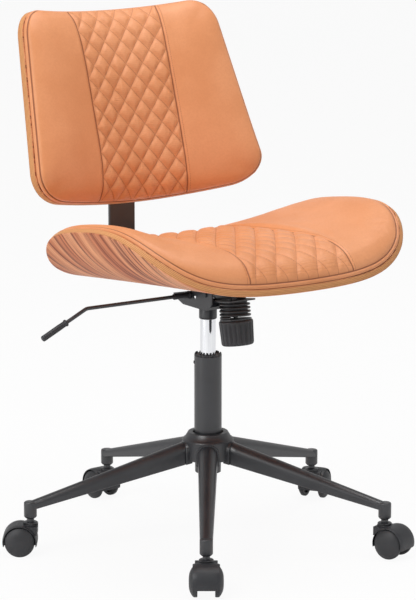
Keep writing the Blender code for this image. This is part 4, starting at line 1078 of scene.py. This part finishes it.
def surface(panel, a, b, rise):
    """Points at a height above the shell's padded face, their places in the flat and the
    face's normals."""
    x, y = panel.flat(*spread(panel, a, b))
    step = 0.001
    slope_x = (panel.height(x + step, y) - panel.height(x - step, y)) / (2 * step)
    slope_y = (panel.height(x, y + step) - panel.height(x, y - step)) / (2 * step)
    normal = np.stack([-slope_x, -slope_y, np.ones_like(x)], -1)
    normal /= np.linalg.norm(normal, axis=-1, keepdims=True)
    point = np.stack([x, y, panel.height(x, y)], -1) + normal * np.asarray(rise)[..., None]
    return point, pairs(x, y), normal


def rim_of(numbers):
    """Point numbers round the edge of a grid, in order."""
    return np.concatenate([numbers[0, :-1], numbers[:-1, -1], numbers[-1, :0:-1],
                           numbers[:0:-1, 0]])


def grid_faces(numbers):
    """Faces of a grid of point numbers."""
    corners = (numbers[:-1, :-1], numbers[:-1, 1:], numbers[1:, 1:], numbers[1:, :-1])
    return list(np.stack(corners, -1).reshape(-1, 4))


def values_of(items, field, width=3):
    """A field of all items, with a row each."""
    values = np.empty(len(items) * width)
    items.foreach_get(field, values)
    return values.reshape(-1, width)


def loop_points(mesh):
    """The point's number for each corner of the faces."""
    corners = np.empty(len(mesh.loops), int)
    mesh.loops.foreach_get("vertex_index", corners)
    return corners


def vertex_layout(mesh, name):
    """A layout's value for each point of the mesh."""
    values = np.zeros((len(mesh.vertices), 2))
    values[loop_points(mesh)] = values_of(mesh.uv_layers[name].data, "uv", 2)
    return values


class Skin:
    """Mesh of a panel, made of a grid and rings, with two named flat layouts."""

    def __init__(self, *names):
        self.points = []
        self.layouts = {name: [] for name in names}
        self.faces = []
        self.count = 0

    def add(self, points, *places):
        """Adds points with their place in each layout, and returns their numbers."""
        self.points.append(points.reshape(-1, 3))
        for layout, flat in zip(self.layouts.values(), places):
            layout.append(flat.reshape(-1, 2))
        first = self.count
        self.count += len(self.points[-1])
        return np.arange(first, self.count).reshape(points.shape[:-1])

    def band(self, before, points, *places):
        """Adds a ring of points and the faces between it and the ring before."""
        now = self.add(points, *places)
        self.faces += ring_faces(before, now)
        return now

    def build(self, name, matrix):
        faces = [tuple(int(i) for i in face) for face in self.faces]
        made = new_object(name, np.concatenate(self.points), faces, matrix)
        corners = loop_points(made.data)
        for word, flats in self.layouts.items():
            layer = made.data.uv_layers.new(name=word)
            flat = np.concatenate(flats)[corners].astype(np.float32)
            layer.data.foreach_set("uv", flat.ravel())
        return made


# Pads and shells

def inflate(made, free):
    """Lets the leather swell over its filling; only the free points move."""
    group = made.vertex_groups.new(name=CLOTH["vertex_group_mass"])
    group.add([int(i) for i in np.nonzero(~free)[0]], 1.0, "REPLACE")
    cloth = made.modifiers.new("leather", "CLOTH")
    for word, value in CLOTH.items():
        setattr(cloth.settings, word, value)
    cloth.settings.effector_weights.gravity = 0
    cloth.collision_settings.use_collision = False
    scene = bpy.context.scene
    for number in range(1, SWELL_FRAMES + 1):
        scene.frame_set(number)
    graph = bpy.context.evaluated_depsgraph_get()
    after = values_of(made.evaluated_get(graph).data.vertices, "co")
    made.modifiers.remove(cloth)
    made.vertex_groups.remove(group)
    scene.frame_set(1)
    before = values_of(made.data.vertices, "co")
    move = after - before
    far = np.linalg.norm(move, axis=1, keepdims=True)
    move *= np.minimum(1, SWELL_CAP / np.maximum(far, 1e-9))
    made.data.vertices.foreach_set("co", (before + move).ravel())
    made.data.update()


def refine(made):
    """Divides every face of the mesh once, smoothly."""
    step = made.modifiers.new("refine", "SUBSURF")
    step.levels = step.render_levels = 1
    graph = bpy.context.evaluated_depsgraph_get()
    mesh = bpy.data.meshes.new_from_object(made.evaluated_get(graph))
    made.modifiers.remove(step)
    old = made.data
    made.data = mesh
    bpy.data.meshes.remove(old)


def quilt_relief(panel, x, y):
    """Height of the quilting and of the grooves beside it, by place in the flat."""
    cell, tall = panel.diamond()
    reach = 1 / math.hypot(1 / cell, 1 / tall)
    across = x / cell + DIAMONDS_ACROSS / 2
    along = y / tall
    relief = np.ones_like(x)
    for turn in (across + along, across - along):
        off = abs((turn + 0.5) % 1 - 0.5) * reach
        relief = relief * (1 - np.exp(-off / PUFF_SLOPE * 1.6))
    inside = smooth(panel.quilt_half - abs(x), 0.0, 0.006)
    puffs = PUFF * (relief * 1.7 - 1.0) * inside
    groove = SEAM_DEPTH * np.exp(-((abs(x) - panel.quilt_half) / SEAM_WIDTH) ** 2)
    return puffs - groove


def raise_quilting(mesh, panel):
    """Moves the points out by the quilting and in at the seams."""
    x, y = vertex_layout(mesh, "sewing").T
    depth = vertex_layout(mesh, "edge")[:, 1]
    relief = quilt_relief(panel, x, y) * smooth(depth, 0.003, 0.022)
    seam = EDGE_SEAM_DEPTH * np.exp(-(depth / EDGE_SEAM_WIDTH) ** 2)
    normals = values_of(mesh.vertices, "normal")
    points = values_of(mesh.vertices, "co") + normals * (relief - seam)[:, None]
    mesh.vertices.foreach_set("co", points.ravel())


def close_underside(mesh, panel):
    """Closes the pad below, along the shell."""
    work = bmesh.new()
    work.from_mesh(mesh)
    start = next(edge for edge in work.edges if edge.is_boundary)
    loop = [start.verts[0]]
    here = start.verts[1]
    while here != loop[0]:
        loop.append(here)
        ahead = [edge.other_vert(here) for edge in here.link_edges if edge.is_boundary]
        here = ahead[0] if ahead[0] != loop[-2] else ahead[1]
    middle = sum((vert.co for vert in loop), Vector()) / len(loop)
    outer = loop
    for share in (0.86, 0.62, 0.36):
        inner = []
        for vert in loop:
            x = between(share, middle.x, vert.co.x)
            y = between(share, middle.y, vert.co.y)
            inner.append(work.verts.new((x, y, panel.height(x, y) + PAD_LIFT)))
        for face in ring_faces(outer, inner):
            work.faces.new(face)
        outer = inner
    work.faces.new(outer)
    work.to_mesh(mesh)
    work.free()
    face_out(mesh)


def make_pad(name, panel, node, finish):
    """A quilted pad: its crowned top, its sides down to the shell and its underside."""
    a, b = panel.grid((0.0, 0.0003, 0.0012, 0.0032))
    fullness = np.sqrt(np.maximum((1 - abs(a) ** CROWN_POWER) * (1 - abs(b) ** CROWN_POWER), 0))
    edge_x = (1 - abs(a)) * panel.half_width
    edge_y = (1 - abs(b)) * panel.length / 2
    inward = np.hypot(np.minimum(edge_x, edge_y), panel.crown * fullness)
    around = np.arctan2(b, a) * 0.25
    inset = 1 - PAD_SETBACK / panel.half_width
    slack = BEFORE_SWELL
    top, flat, _ = surface(panel, a * inset, b * inset, BAND + panel.crown * fullness * slack)
    skin = Skin("sewing", "edge")
    numbers = skin.add(top, flat, pairs(around, inward))
    skin.faces += grid_faces(numbers)

    before = rim = rim_of(numbers)
    rim_a, rim_b = (a * inset).ravel()[rim], (b * inset).ravel()[rim]
    middle = top.reshape(-1, 3)[rim].mean(0)
    for height, bulge in PAD_SIDE:
        ring, place, normal = surface(panel, rim_a, rim_b, height)
        outward = ring - middle
        outward -= normal * (outward * normal).sum(1, keepdims=True)
        outward /= np.linalg.norm(outward, axis=1, keepdims=True)
        before = skin.band(before, ring + outward * bulge, place,
                           pairs(around.ravel()[rim], height - BAND))
    made = skin.build(name, panel.matrix)

    off_seam = abs(abs(flat[..., 0]) - panel.quilt_half) >= GRID * 0.55
    free = np.zeros(skin.count, bool)
    free[:a.size] = ((inward > 0.012) & off_seam).ravel()
    inflate(made, free)
    refine(made)
    raise_quilting(made.data, panel)
    close_underside(made.data, panel)
    made.data.shade_smooth()
    made.data.update()
    dress(made, "seat", "tan_leather", node, finish)


def make_shell(name, panel, node, finish):
    """The moulded plywood, with its edges eased."""
    a, b = panel.grid((0.0, 0.0020))
    around = np.arctan2(b, a) * 0.25
    inset = 1 - VENEER_INSET / panel.half_width
    skin = Skin("veneer", "plies")
    rims = []
    for depth, order in ((0.0, 1), (PLY, -1)):
        face, place, _ = surface(panel, a * inset, b * inset, -depth)
        place[..., 0] += np.sign(place[..., 0]) * 0.35 * abs(face[..., 2])
        numbers = skin.add(face, place, pairs(around, depth))
        skin.faces += [quad[::order] for quad in grid_faces(numbers)]
        rims.append(rim_of(numbers))
    ease = 0.0014
    before = rim = rims[0]
    for depth in (0.0005, ease, PLY / 2, PLY - ease, PLY - 0.0005):
        back_off = max(0.0, ease - min(depth, PLY - depth)) ** 2 / ease
        scale = 1 - back_off / panel.half_width
        ring, place, _ = surface(panel, a.ravel()[rim] * scale, b.ravel()[rim] * scale, -depth)
        before = skin.band(before, ring, place, pairs(around.ravel()[rim], depth))
    skin.faces += ring_faces(before, rims[1])
    made = skin.build(name, panel.matrix)
    face_out(made.data)
    made.data.shade_smooth()
    made.data.set_sharp_from_angle(angle=math.radians(50))
    dress(made, "seat", "walnut_ply", node, finish)


# Studio

def seen_directly(material):
    """1 for rays that show the background itself, in the picture or in a reflection."""
    camera = material.node("ShaderNodeLightPath", output="Is Camera Ray")
    glossy = material.node("ShaderNodeLightPath", output="Is Glossy Ray")
    through = material.node("ShaderNodeLightPath", output="Is Transmission Ray")
    return camera.larger(glossy * REFLECTED_WHITE).larger(through)


def make_floor():
    """Round floor that curves up all round; seen directly it is nearly white."""
    made = Material("white_floor", roughness=0.9)
    tint = made.noise(made.place(), 3.0)
    tone = made.mix(tint, (0.86, 0.86, 0.86), (0.89, 0.89, 0.89))
    white = made.finish(base_color=tone)
    both = made.node("ShaderNodeMixShader", inputs={
        0: seen_directly(made) * FLOOR_GLOW, 1: Socket(made, made.shader.outputs[0]),
        2: made.node("ShaderNodeEmission")})
    made.link(both, made.nodes["Material Output"].inputs["Surface"])
    profile = [(0.001, 0.0), (3.0, 0.0), (BOWL_FLAT, 0.0)]
    profile += arc(BOWL_FLAT, BOWL_CURVE, BOWL_CURVE, -90, 0, 12)[1:]
    profile += [(BOWL_FLAT + BOWL_CURVE, 9.0)]
    rings = turned_rings(profile, 96)
    floor = new_object("floor", sum(rings, []), span_faces(ring_numbers(rings)), AXIS)
    floor.data.materials.append(white)
    floor.data.shade_smooth()


def aim(made, place, toward):
    """Puts a lamp or the camera at a place and turns it toward another."""
    made.location = place
    made.rotation_mode = "QUATERNION"
    made.rotation_quaternion = (toward - place).to_track_quat("-Z", "Y")


def make_lights():
    world = bpy.data.worlds.new("studio")
    bpy.context.scene.world = world
    tree = Tree(world)
    camera = tree.node("ShaderNodeLightPath", output="Is Camera Ray")
    strength = tree.node("ShaderNodeMapRange",
                         inputs={"Value": camera, "To Min": SKY, "To Max": 1.0})
    background = tree.nodes["Background"]
    background.inputs["Color"].default_value = (1.0, 1.0, 1.0, 1.0)
    tree.link(strength, background.inputs["Strength"])
    for name, place, size, power in LIGHTS:
        lamp = bpy.data.lights.new(name, "AREA")
        lamp.size = size
        lamp.energy = power
        spot = rotate(CAMERA_TURN, "Z") @ Vector(place) + COLUMN
        aim(add_object(name, lamp), spot, COLUMN + Vector((0, 0, LIGHT_AIM)))


def make_camera():
    data = bpy.data.cameras.new("camera")
    data.sensor_width = 36.0
    data.lens = CAMERA_LENS
    data.clip_end = 50.0
    made = add_object("camera", data)
    turn, rise = math.radians(CAMERA_TURN), math.radians(CAMERA_RISE)
    back = Vector((math.sin(turn) * math.cos(rise), -math.cos(turn) * math.cos(rise),
                   math.sin(rise)))
    target = COLUMN + Vector((0, 0, CAMERA_AIM))
    aim(made, target + back * CAMERA_DISTANCE, target)
    bpy.context.scene.camera = made


# The whole chair

def paint_frame():
    """Gives the carried-over pieces of the frame the finishes of their slots."""
    for part in frame["record"]["subparts"]:
        finish = FINISHES.get(part["material_slot"])
        if finish:
            node = frame["nodes"][part["node"]]
            if not node.material_slots:
                node.data.materials.append(finish)
            for slot in node.material_slots:
                slot.material = finish


seat = Seat()
back = Back()
wood = plywood()
make_shell("seat_ply", seat, "seat_shell", wood)
make_shell("back_ply", back, "back_shell", wood)
make_pad("seat_cushion", seat, "seat_pad", leather("seat_leather", seat))
make_pad("back_cushion", back, "back_pad", leather("back_leather", back))
make_hub()
make_legs()
make_castors()
make_column()
make_crown()
make_lever()
make_tube_screw()
make_spring()
make_knob()
paint_frame()
make_camera()
make_floor()
make_lights()
bpy.context.scene.view_settings.view_transform = "Standard"
